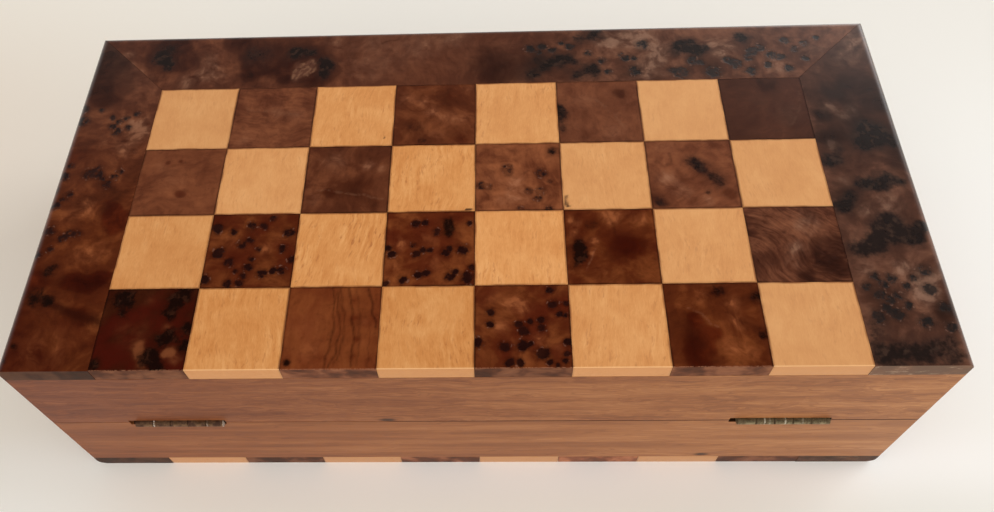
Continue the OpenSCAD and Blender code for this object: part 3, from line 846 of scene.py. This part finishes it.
# describe gives what the wood is like at a place; lowest, for squares only, is where their glue stain ends
def writeGrain(mesh, describe, lowest=None):
    layers = {"grain": [], "figure": [], "tone": [], "lines": [], "rim": []}
    for vertex in mesh.vertices:
        x, y, z = (vertex.co * 1000)[:]
        light, red, silk, angle, marks, plain, shift, centre = describe(x, y)
        found, pushX, pushY = figureAt(x, y, marks)
        offX = x - centre[0]
        offY = y - centre[1]
        turn = math.radians(angle)
        grainX = (offX + pushX) * math.cos(turn) + (offY + pushY) * math.sin(turn)
        grainY = (offY + pushY) * math.cos(turn) - (offX + pushX) * math.sin(turn)
        layers["grain"].append((grainX + shift[0], grainY + shift[1], z + shift[2]))
        layers["figure"].append((min(found["dark"], 1.3), min(found["pale"], 1.2), found["eye"]))
        layers["tone"].append((light, red, found["vein"]))
        layers["lines"].append((found["thread"], silk, min(found["shadow"], 1.2)))
        layers["rim"].append((offX, max(offY, lowest), plain) if lowest else (0.0, 0.0, plain))
    for name, values in layers.items():
        layer = mesh.attributes.new(name, "FLOAT_VECTOR", "POINT")
        layer.data.foreach_set("vector", [number for value in values for number in value])


# the long edge of the board above the hinges, the only one that isn't glued to a neighbour
def isFree(edge):
    near = tileThick / 100
    return all(abs(vert.co.y - hingeFace) < 2 * near and abs(vert.co.z) < near for vert in edge.verts)


def wearFreeEdge(bm):
    free = [edge for edge in bm.edges if isFree(edge)]
    bevelEdges(bm, free, boardLook["softEdge"], boardLook["softCuts"])


def facesHinges(face):
    return face.normal.y < -0.9


# the bevel of the free edge, painted paler partly as wear and partly as a highlight
def isWornHighlitFace(face):
    return face.normal.y * face.normal.z < -0.1


# lightness, redness (or how faded), silk (or how lively), grain direction and marks of a square
def squareWood(half, place, isLight, centre, draw):
    if isLight:
        anyLight = (draw.uniform(*drawnLight["lightness"]), drawnLight["faded"], drawnLight["lively"])
        light, red, silk = lightSquares[place] if half == "upper" else anyLight
        nicks = lightNicks.get(place, []) if half == "upper" else []
        return light, red, silk, draw.uniform(*lightAngles), {"vein": nicks}
    if half == "lower":
        return anyDarkSquare(draw, *centre)
    light, red, silk, angle, marks = darkSquares[place]
    depth = faintEyes.get(place, 1)
    eyes = [(x, y, radius, depth) for x, y, radius in squareEyes.get(place, [])]
    return light, red, silk, angle, dict(marks, eye=eyes)


# materials are those of the top, the sawn edge and the worn edge, which is paler partly from wear and partly
# as a painted highlight
def makeRow(half, row, isLight, materials, draw):
    shade = "light" if isLight else "dark"
    node = f"{half}_{shade}_squares_row_{row}"
    low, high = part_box(node)
    bm = bmesh.new()
    lefts = [low.x + 2 * squarePitch * number for number in range(4)]
    for left in lefts:
        addBlock(bm, Vector((left, low.y, -tileThick)), Vector((left + squareSide, high.y, 0)))
    flat = [edge for edge in bm.edges if abs(edge.verts[0].co.z - edge.verts[1].co.z) < squareSide / 100]
    bmesh.ops.subdivide_edges(bm, edges=flat, cuts=boardLook["cells"][isLight] - 1, use_grid_fill=True)
    if row == 1:
        wearFreeEdge(bm)
        for face in bm.faces:
            face.material_index = 1 if facesHinges(face) else 2 if isWornHighlitFace(face) else 0
    layOnHalf(bm, half)
    piece = finishPiece(bm, node, half + "_half", materials)

    tiles = []
    for left in lefts:
        place = (row, round((left - squareLow.x) / squarePitch) + 1)
        centre = (left * 1000 + squareSide * 500, low.y * 1000 + squareSide * 500)
        plain = plainSquares.get(place, 0.0) if half == "upper" else 0.0
        tiles.append((*squareWood(half, place, isLight, centre, draw), plain, anyShift(draw), centre))

    def describe(x, _):
        return tiles[min(int((x / 1000 - low.x + glueGap / 2) / (2 * squarePitch)), 3)]

    writeGrain(piece.data, describe, boardLook["unstained"] if row == 1 else -math.inf)


# marks and eyes of the upper border strips
borderMarks = {
    "hook": {
        "dark": [(-123, 61.5, 4, 0.95), (-119.5, 58.5, 3, 0.8), (-122, 67, 5, 0.6), (-85, 63, 6, 0.75),
                 (-71, 63.5, 3.8, 1.1), (-64.5, 64, 3, 0.9), (-58, 57, 4, 1.1), (-59, 51, 2.6, 0.7),
                 (31, 55.5, 5, 0.75), (25, 56.5, 4, 0.6), (36.5, 57, 3.5, 0.65), (21, 49.5, 5, 0.65),
                 (38, 48, 2.5, 0.9), (44, 51, 3.8, 1.05), (47, 70, 4, 0.8), (40, 68.5, 3.5, 0.6),
                 (80, 63, 4.8, 1.1), (85.5, 60.5, 3.4, 1), (76, 60, 3, 0.6), (102, 67, 3.4, 1)],
        "pale": [(-135, 59, 2.6, 0.55), (-131, 54, 2.6, 0.55), (-127, 51, 2.6, 0.4), (-137, 64, 2.6, 0.5),
                 (-112, 49, 5, 0.35), (-97, 50, 5, 0.2), (-104, 60, 6, 0.3), (-103, 52, 5, 0.4),
                 (-40, 70, 8, 0.25), (-55, 69, 5, 0.35), (-66.5, 55.5, 3.6, 0.95), (-68.5, 50.5, 2.4, 0.7),
                 (-63, 58, 2.2, 0.6), (-64, 53, 2.4, 0.6), (-40, 55, 12, 0.3), (-22, 67, 9, 0.4),
                 (-8, 71, 7, 0.4), (64, 67, 5, 0.3), (52, 66, 6, 0.6), (64, 68, 6, 0.6), (65, 52, 7, 0.5),
                 (70, 60, 5, 0.4), (93, 62, 6, 0.6), (113, 50, 6, 0.45), (128, 60, 5, 0.3)],
        "shadow": [(-127, 48, 4, 0.5), (-121.5, 63, 10, 1.2), (-119, 70, 6, 0.7), (-112, 60, 6, 0.6),
                   (-86, 64, 10, 0.9), (-97, 71, 5, 0.8), (-87, 52, 5, 0.8), (-94, 71, 5, 0.6),
                   (-66, 59, 12, 1.1), (-80, 57, 6, 0.7), (-60, 49, 6, 0.8), (-74, 50, 4, 0.6),
                   (5, 56, 13, 0.75), (9, 50, 7, 0.6), (24, 54, 10, 0.7), (108, 68, 6, 0.5),
                   (144, 66, 6, 0.3)],
        "vein": [([(-72.5, 56), (-70, 60.5), (-65, 62), (-60.5, 60.5), (-59, 56), (-60, 51),
                   (-63, 48)], 1.8, 0.7),
                 ([(-69.5, 53), (-67.5, 55), (-65, 55.5), (-63.5, 58)], 0.8, 0.6),
                 ([(-68.5, 57.5), (-66, 59), (-63.5, 61)], 0.7, 0.6), ([(-70, 49), (-67.5, 51.5)], 0.7, 0.5),
                 ([(-66.5, 51), (-63.5, 54), (-61.5, 57)], 0.7, 0.55),
                 ([(-37, 68), (-34, 69.5), (-30, 70)], 1, 0.6)],
        "thread": [([(-70.5, 50), (-69, 54), (-66.5, 57.5), (-63.5, 59), (-61.8, 57), (-62.5, 53.5),
                     (-65, 50.5)], 1, 1.1),
                   ([(-68.5, 50), (-67, 54), (-64.5, 56.5), (-63.6, 54.5), (-66, 51.5)], 0.8, 1.1),
                   ([(120, 56), (127, 62), (133, 68)], 0.9, 0.4),
                   ([(131, 60), (137, 66), (142, 71)], 0.9, 0.4), ([(127, 52), (134, 59)], 0.8, 0.3)]},
    "left": {
        "dark": [(-148, -71, 2, 0.7), (-146, -66, 1.8, 0.6), (-144, -47.5, 3.6, 0.9),
                 (-139, -49.5, 2.8, 0.7), (-142, -37, 3, 0.8)],
        "pale": [(-136, -68, 10, 0.3), (-133, -31, 5, 0.35), (-136, -11, 5, 0.45), (-126, 27, 5, 0.6),
                 (-136, 20, 4, 0.2), (-126, -30, 4, 0.4), (-128, 16, 5, 0.45), (-124, 22, 4, 0.35),
                 (-141, -15, 4, 0.3)],
        "shadow": [(-132, -54, 4, 0.6), (-128, -43, 5, 0.9), (-123, -40, 4, 0.8), (-134, -41, 4, 0.6),
                   (-125, -13, 5, 0.9), (-124, -19, 5, 0.9), (-147, -42, 5, 0.8), (-129, -9, 4, 0.4),
                   (-137, 14, 5, 0.5), (-144, 60, 11, 1.2), (-138, 46, 9, 0.8), (-148, 71, 6, 0.9),
                   (-148, 45, 5, 0.6), (-147, 12, 7, 0.8), (-148, -30, 6, 0.6), (-148, -56, 6, 0.6),
                   (-126, -54, 4, 0.6), (-146, -41, 6, 0.5), (-137, -43, 4, 0.4), (-142, 37, 6, 0.4),
                   (-147, 27, 5, 0.4), (-124, -19, 4, 0.4)],
        "vein": [([(-141, -49), (-134, -52.5), (-128, -55), (-121, -57)], 3.2, 0.95)]},
    "right": {
        "dark": [(124, -71, 6, 0.75), (133, -71, 6, 0.7), (143, -70, 6, 0.65), (123, -63, 4, 0.5),
                 (125, -32.5, 3.8, 1.05), (131, -30, 4.2, 1), (138, -25, 4.8, 1.1), (143, -28.5, 4.4, 1.05),
                 (137, -20, 3, 0.9), (147, -24, 3, 0.8), (132, -24, 3, 0.8), (123, -15, 4.2, 1.05),
                 (127, -11, 3, 0.9), (133, -5.5, 3.6, 1.05), (140, -5, 4.2, 1.05), (145, -5, 2.5, 0.7),
                 (123.5, 5, 3.8, 0.95), (127, 9, 2.8, 0.6), (136, 13, 4.2, 1.05), (142, 16, 4.8, 1.05),
                 (138, 20, 4, 0.8), (147, 12, 3, 0.6), (131, 37, 5, 0.5)],
        "pale": [(141, -50, 5, 0.75), (144, -44, 4, 0.65), (137, -40, 4, 0.55), (125, -40, 3, 0.4),
                 (138, -14, 5, 0.45), (130, -17, 3, 0.4), (126, -4, 3, 0.3), (125, 12, 2.6, 0.6),
                 (133, 25, 3, 0.55), (128, 29, 3.5, 0.55), (136, 29, 3, 0.4), (143, 61, 7, 0.4),
                 (137, 54, 5, 0.3), (146, 68, 4, 0.3)],
        "shadow": [(128, -55, 8, 0.5), (131, 37, 7, 0.5), (124, 26, 3, 0.7), (147, 30, 5, 0.7),
                   (122, 70, 4, 0.7), (138, 40, 10, 0.7), (133, 58, 8, 0.3), (124, 16, 5, 0.7),
                   (136, 25, 8, 0.5), (146, 18, 6, 0.7), (146, 3, 5, 0.8), (128, -8, 5, 0.5),
                   (146, -57, 5, 0.6), (146, 38, 6, 0.5), (146, 10, 6, 0.5), (125, 26, 4, 0.4),
                   (124, 14, 4, 0.4), (134, 18, 6, 0.4), (135, 15, 8, 0.4), (145, 14, 5, 0.5),
                   (123, -8, 4, 0.4), (145, -55, 5, 0.4)]},
}
borderEyes = {
    "hook": [(21, 63, 1.8), (25.5, 64, 1.6), (24, 61, 1.3), (29.5, 62, 1.5), (36, 64, 1.6), (33, 66, 1.2),
             (43, 60, 1.3), (64, 64, 2.2), (57, 57, 1.5), (60, 57, 1.2), (60, 50, 2), (55.5, 59, 1),
             (48, 56, 1.4), (50, 50, 1.2), (77, 49, 2.8), (89, 49, 2.6), (82, 55, 2), (85, 54, 1.5),
             (74, 50, 1.5), (105, 59, 2), (108, 61, 1.8), (103, 56, 1.5), (112, 57, 2), (115, 56, 1.6),
             (98, 53, 2.2), (95, 55, 1.6), (103, 49, 1.8), (110, 52, 1.5), (118, 65, 1.6), (121, 60, 1.4),
             (117, 50, 1.6), (125, 63, 1.4), (130, 66, 1.2), (124, 55, 1.3)],
    "left": [(-141, -24, 1.5), (-139, -22, 1.4), (-136.5, -22.5, 1.2), (-146, -21, 1.5), (-144, -29, 1.1),
             (-148, -31, 1.3), (-145, -7, 1.3), (-143.5, -5, 1.2), (-147, -10, 1.4), (-149, -3, 1.2),
             (-147.5, 3, 1.6), (-138.5, 4, 1.9), (-136, 6, 1.6), (-135, 3.5, 1.5), (-131, -0.5, 1.4),
             (-129, 2.5, 1.3), (-127.5, 5, 1.2), (-133, 2, 1), (-146, 8, 1.2), (-135, 27, 1.3),
             (-133, 24, 1.5), (-133, 29, 1.3), (-130.5, 31, 1.1), (-136, 31, 1), (-129, 26, 1.2),
             (-147, 30, 2), (-141, 35, 1), (-148, 36, 1.6), (-127, 33, 1)],
    "right": [(125, -58, 2), (128, -55, 1.6), (131, -57, 1.8), (127, -50, 1.5), (130, -52, 1.4),
              (133, -50, 1.5), (129, -46, 1.5), (132, -44, 1.6), (127, -43, 1.4), (135, -54, 1.3),
              (124, -47, 1.3), (136, -47, 1.2), (143, -48, 1.8), (143, -41, 1.8), (139, -44, 1.2),
              (146, -55, 1.6), (139, -60, 2), (146, -62, 1.6)],
}
# lightness and redness at the left or near end and at the other, silk and grain direction; along the hook
# strip the rise in lightness to the right is partly a painted sheen
borderTone = {
    "hook": ((1.0, 1.15), (-0.36, -0.64), 0.1, 0),
    "left": ((0.83, 1.14), (0.35, -0.60), 0.1, 90),
    "right": ((1.17, 0.90), (-0.66, -0.72), 0.1, 90),
}
borderDepths = {"hook": 0.12, "left": 0.08, "right": 0.08}          # how deep their eyes are
# from where to where along the hook strip its wood turns dull, which is partly a painted sheen, and the
# middle and half length in mm of its plain part, with how plain that is
hookStrip = {"turns": (0.45, 0.70), "plain": (-18, 34, 0.7)}
mitredEnds = {"hook": (-1, 1), "left": (-1,), "right": (1,)}
# how far a place is from the outer face of a strip
fromOuter = {
    "hook": lambda co: hookFace - co.y,
    "left": lambda co: co.x - caseLow.x,
    "right": lambda co: caseHigh.x - co.x,
}
nearlyNothing = 1e-7


def everything(bm):
    return bm.verts[:] + bm.edges[:] + bm.faces[:]


# what lies beyond the diagonal through an outer corner of the board is cut away
def cutMitres(bm, side):
    for end in mitredEnds[side]:
        corner = Vector((end * caseHigh.x, hookFace, 0))
        away = Vector((-end, 1, 0))
        if side == "hook":
            corner.x -= end * glueGap
            away = -away
        cut = bmesh.ops.bisect_plane(bm, geom=everything(bm), dist=nearlyNothing, plane_co=corner,
                                     plane_no=away, clear_outer=True)
        rim = [item for item in cut["geom_cut"] if isinstance(item, bmesh.types.BMEdge)]
        bmesh.ops.contextual_create(bm, geom=rim)
    bmesh.ops.recalc_face_normals(bm, faces=bm.faces)


# the long upper edge of the outer face
def roundOuterEdge(bm, side, radius):
    near = tileThick / 100
    outer = [edge for edge in bm.edges
             if all(fromOuter[side](vert.co) < near and abs(vert.co.z) < near for vert in edge.verts)]
    bevelEdges(bm, outer, radius, boardLook["roundCuts"])


def isBeyond(item, axis, place):
    corners = [item] if isinstance(item, bmesh.types.BMVert) else item.verts
    return all(vert.co[axis] > place for vert in corners)


# the figure needs a mesh that is fine enough to carry it; each cut is made in what lies beyond the last one
def cutFine(bm, side, cell):
    for axis in (1, 0) if side == "hook" else (0, 1):
        start = min(vert.co[axis] for vert in bm.verts)
        end = max(vert.co[axis] for vert in bm.verts)
        normal = Vector((1 - axis, axis, 0))
        beyond = everything(bm)
        for step in range(1, int((end - start) / cell)):
            place = start + step * cell
            done = bmesh.ops.bisect_plane(bm, geom=beyond, dist=nearlyNothing, plane_co=normal * place,
                                          plane_no=normal)
            beyond = [item for item in done["geom"] if isBeyond(item, axis, place - cell / 100)]


# the box's upright corners
def roundCorners(bm):
    radius = boardLook["cornerRadius"]
    for vert in bm.verts:
        centreX = math.copysign(caseHigh.x - radius, vert.co.x)
        centreY = math.copysign(hookFace - radius, vert.co.y)
        offX = vert.co.x - centreX
        offY = vert.co.y - centreY
        reach = math.hypot(offX, offY)
        if offX * vert.co.x > 0 and offY * vert.co.y > 0 and reach > radius:
            vert.co.x = centreX + offX * radius / reach
            vert.co.y = centreY + offY * radius / reach


# the fine cuts leave the faces in an order that changes from run to run; this one goes by their corners
def sortFaces(bm):
    bm.verts.index_update()
    count = len(bm.verts)

    def rank(face):
        corners = [vert.index for vert in face.verts]
        return (min(corners) * count + max(corners)) * count + sum(corners) / len(corners)

    bm.faces.sort(key=rank)


# materials are those of the top and the sawn end
def makeBorder(half, side, materials, draw):
    node = f"{half}_{side}_border"
    low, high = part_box(node)
    if side == "hook":
        low.x = caseLow.x
        high.x = caseHigh.x
    else:
        high.y = hookFace
    bm = bmesh.new()
    addBlock(bm, Vector((low.x, low.y, -tileThick)), Vector((high.x, high.y, 0)))
    cutMitres(bm, side)
    roundOuterEdge(bm, side, boardLook["roundOver"][half])
    wearFreeEdge(bm)
    cutFine(bm, side, boardLook["borderCell"][half])
    roundCorners(bm)
    sortFaces(bm)
    for face in bm.faces:
        face.material_index = 1 if facesHinges(face) else 0
    layOnHalf(bm, half)
    piece = finishPiece(bm, node, half + "_half", materials)

    lights, reds, silk, angle = borderTone[side]
    if half == "upper":
        eyes = [(x, y, radius, borderDepths[side]) for x, y, radius in borderEyes[side]]
        marks = dict(borderMarks[side], eye=eyes)
    else:
        marks = anyMarks(draw, low * 1000, high * 1000, drawnBorder)
    shift = anyShift(draw)
    isHook = side == "hook"

    def describe(x, y):
        along = x / boardLength + 0.5 if isHook else y / boardDepth + 0.5
        light = lights[0] + (lights[1] - lights[0]) * along
        start, end = hookStrip["turns"]
        turned = min(max((along - start) / (end - start), 0.0), 1.0) if isHook else along
        red = reds[0] + (reds[1] - reds[0]) * turned
        middle, reach, most = hookStrip["plain"]
        plain = most * math.exp(-((x - middle) / reach) ** 4) if isHook and half == "upper" else 0.0
        return light, red, silk, angle, marks, plain, shift, (0, 0)

    writeGrain(piece.data, describe)


topBurl = burlTop("varnished_burl", 0.0)
wornHighlitBurl = burlTop("burl_worn_highlit_edge", 0.5)
hookEnd = burlEdge("burl_sawn_edge", 1.0)
# painted shade and light: the left ends darker, the upper right end lighter as if lit from the right, the
# lower right end darker
leftEnd = burlEdge("burl_left_end", 0.48, 0.2)
edgeEnds = {
    "upper": {"left": leftEnd, "right": burlEdge("burl_right_end", 1.15, 0.75, 0.45), "hook": hookEnd},
    "lower": {"left": leftEnd, "right": burlEdge("burl_lower_right_end", 0.58, 0.3, 0.3), "hook": hookEnd},
}
edgeBurl = {
    "upper": burlEdge("burl_upper_edge", 1.0, paler=[(15, -0.2)]),
    "lower": burlEdge("burl_lower_edge", 1.0, paler=[(45, 1.05), (-15, 0.42), (-75, -0.19)]),
}
topLight = lightTop("varnished_light_wood", 0.0, "edge")
# the lower board's edges are painted darker, as painted shade
edgeLight = {
    "upper": lightTop("light_wood_sawn_edge", 0.75, "edge", 0.96),
    "lower": lightTop("light_wood_lower_edge", 0.75, "edge", 0.87),
}
wornHighlitLight = lightTop("light_wood_worn_highlit_edge", 0.7, "wornHighlight")
draws = random.Random(boardLook["seed"])
noise.seed_set(boardLook["seed"])
for half in ("upper", "lower"):
    for row in range(1, 5):
        makeRow(half, row, False, [topBurl, edgeBurl[half], wornHighlitBurl], draws)
        makeRow(half, row, True, [topLight, edgeLight[half], wornHighlitLight], draws)
    for side in ("hook", "left", "right"):
        makeBorder(half, side, [topBurl, edgeEnds[half][side]], draws)
    print("stage:", half, "board made")


# Rails, ground boards and metal keep their own shapes and get their finish

# how lively and wavy the grain is, the level of the colour, partly painted light with the lower rails
# brighter as if lit from below, and how it rises for each mm to the right, painted light from the right
railLooks = {
    "upper": {"lively": 1.7, "waves": 5.0, "level": (0.94, 0.875, 0.835), "paintedLightRise": (0.0021, 0.0030, 0.0032)},
    "lower": {"lively": 0.75, "waves": 1.8, "level": (1.07, 1.06, 1.06), "paintedLightRise": (0.0018, 0.0029, 0.0036)},
    "other": {"lively": 1.0, "waves": 3.0, "level": (1.0, 1.0, 1.0), "paintedLightRise": (0.0, 0.0, 0.0)},
}
# small knots in the hinge-side rails: place along the box, height and reach in mm
railKnots = {"upper": [(-31, 41.4, 2.1)], "lower": [(83, 8.2, 1.9)]}


def dress(node, material):
    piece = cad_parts[node]
    piece.data.materials.clear()
    piece.data.materials.append(material)


for half in ("upper", "lower"):
    hingeWood = railWood(f"{half}_hinge_rail_wood", False, anyShift(draws), railKnots[half], railLooks[half])
    dress(f"{half}_hinge_rail", hingeWood)
    shift = anyShift(draws)
    dress(f"{half}_hook_rail", railWood(f"{half}_hook_rail_wood", False, shift, [], railLooks["other"]))
    endWood = railWood(f"{half}_end_rail_wood", True, shift, [], railLooks["other"])
    for side in ("left", "right"):
        dress(f"{half}_{side}_rail", endWood)
groundWood = bareBoard()
brassMetal = agedMetal("aged_brass", brassLook)
for half in ("upper", "lower"):
    dress(f"{half}_ground_board", groundWood)
for side in ("left", "right"):
    hingeMetal = agedMetal(f"tarnished_{side}_hinge", hingeLooks[side])
    for name in ("hinge_lower_leaf", "hinge_upper_leaf", "hinge_pin"):
        dress(f"{side}_{name}", hingeMetal)
    for name in ("hinge_lower_screws", "hinge_upper_screws", "hook", "hook_pivot", "catch_stud"):
        dress(f"{side}_{name}", brassMetal)
print("stage: rails and metal finished")


# Floor, light and camera

floorLook = {
    "size": 60.0,
    "colour": tint(246, 244, 238),
    # painted shade: warmer and darker on the left and greyer at the back, where less light falls
    "left": tint(246, 242, 233),
    "far": tint(233, 231, 226),
    # where these come in, in metres along X, and along X and Y together
    "leftFrom": (0.0, -0.3),
    "farFrom": (0.15, 0.6),
    # soft patches of painted light and shadow: middle, reach along X and Y in metres, and colour; the white
    # band in front of the box lightens the box's shadow
    "paintedLightPatches": [
        ((-0.32, 0.09, 0), (0.26, 0.16), tint(236, 225, 212)),
        ((0.25, 0.0, 0), (0.26, 0.18), tint(251, 252, 250)),
        ((0.14, -0.12, 0), (0.14, 0.07), tint(233, 234, 229)),
        ((-0.175, -0.10, 0), (0.08, 0.05), tint(253, 253, 249)),
        ((0.03, -0.074, 0), (0.30, 0.022), tint(255, 255, 255)),
    ],
}


def makeFloor():
    bm = bmesh.new()
    bmesh.ops.create_grid(bm, x_segments=1, y_segments=1, size=floorLook["size"] / 2)
    floor = meshObject(bm, "floor")
    tree = newMaterial("pale_floor")
    place = tree.objectPlace()
    across, deep, _ = tree.split(place)
    # painted light and shade on the floor, by place
    colour = tree.mix(tree.fade(across, *floorLook["leftFrom"]), floorLook["colour"], floorLook["left"])
    colour = tree.mix(tree.fade(across + deep, *floorLook["farFrom"]), colour, floorLook["far"])
    for middle, (reachX, reachY), patch in floorLook["paintedLightPatches"]:
        away = tree.length((place - middle) * (1 / reachX, 1 / reachY, 0.0))
        colour = tree.mix(tree.fade(away, 1.0, 0.0), colour, patch)
    floor.data.materials.append(tree.surface({"Base Color": colour}, {"Roughness": 0.7}))


# an even pale room, lighter on the side of the hinges; what shines in the varnish is brighter towards
# the horizon and on the right
roomLook = {
    "front": (1.335, 1.26, 1.175),
    "back": (0.26, 0.25, 0.235),
    "darkest": (0.0, 0.0, 0.0),
    "horizon": (0.85, 0.835, 0.81),
    "right": (3.4, 3.4, 3.4),
    "seen": tint(217, 213, 203),
    # where each part fades in, along directions that run from -1 to 1
    "backFrom": (-0.7, 0.7),
    "behindFrom": (0.05, 0.6),
    "horizonFrom": (0.76, 0.28),
    "rightFrom": ((0.1, 0.5), (0.55, 0.75), (0.68, 0.5)),
}


def makeRoom():
    world = bpy.data.worlds.new("soft_room")
    bpy.context.scene.world = world
    tree = Tree(world)
    sideways, deep, upwards = tree.split(tree.add("ShaderNodeTexCoord", {}, {}, "Generated"))
    even = tree.mix(tree.fade(deep, *roomLook["backFrom"]), roomLook["front"], roomLook["back"])
    behind = tree.fade(deep, *roomLook["behindFrom"]) * 0.85 + 0.15
    level = tree.fade(upwards, *roomLook["horizonFrom"]) * behind
    shine = tree.mix(level, roomLook["darkest"], roomLook["horizon"])
    alongX, alongY, alongZ = roomLook["rightFrom"]
    corner = tree.fade(sideways, *alongX) * tree.fade(deep, *alongY) * tree.fade(upwards, *alongZ)
    right = tree.mix(corner, roomLook["darkest"], roomLook["right"])
    glossy = tree.add("ShaderNodeLightPath", {}, {}, "Is Glossy Ray")
    seen = tree.add("ShaderNodeLightPath", {}, {}, "Is Camera Ray")
    colour = tree.mix(seen, tree.mix(glossy, even, shine + right), roomLook["seen"])
    background = tree.add("ShaderNodeBackground", {}, {"Color": colour, "Strength": 1.0})
    tree.add("ShaderNodeOutputWorld", {}, {"Surface": background})


lampLook = {"place": (1.28, 0.40, 0.90), "size": 1.0, "power": 10.0, "colour": (0.96, 1.0, 1.04)}


def makeLamp():
    light = bpy.data.lights.new("window", "AREA")
    light.size = lampLook["size"]
    light.energy = lampLook["power"]
    light.color = lampLook["colour"]
    lamp = addObject("window", light)
    lamp.location = lampLook["place"]
    lamp.visible_glossy = False
    lamp.rotation_euler = Vector(lampLook["place"]).to_track_quat("Z", "Y").to_euler()


cameraLook = {
    "place": (0.00669, -0.19094, 0.30911),
    "turn": (30.423, 2.215, 0.694),      # degrees
    "lens": 30.490,          # mm, with a sensor as wide as this
    "sensor": 36.0,
    "shift": (0.03473, 0.06054),
    "nearest": 0.01,
}


def makeCamera():
    data = bpy.data.cameras.new("camera")
    data.lens = cameraLook["lens"]
    data.sensor_width = cameraLook["sensor"]
    data.sensor_fit = "HORIZONTAL"
    data.shift_x, data.shift_y = cameraLook["shift"]
    data.clip_start = cameraLook["nearest"]
    camera = addObject("camera", data)
    camera.location = cameraLook["place"]
    camera.rotation_euler = [math.radians(angle) for angle in cameraLook["turn"]]
    bpy.context.scene.camera = camera


makeFloor()
makeRoom()
makeLamp()
makeCamera()
bpy.context.scene.view_settings.view_transform = "Standard"
print("stage: floor, light and camera set")

bpy.context.view_layer.update()
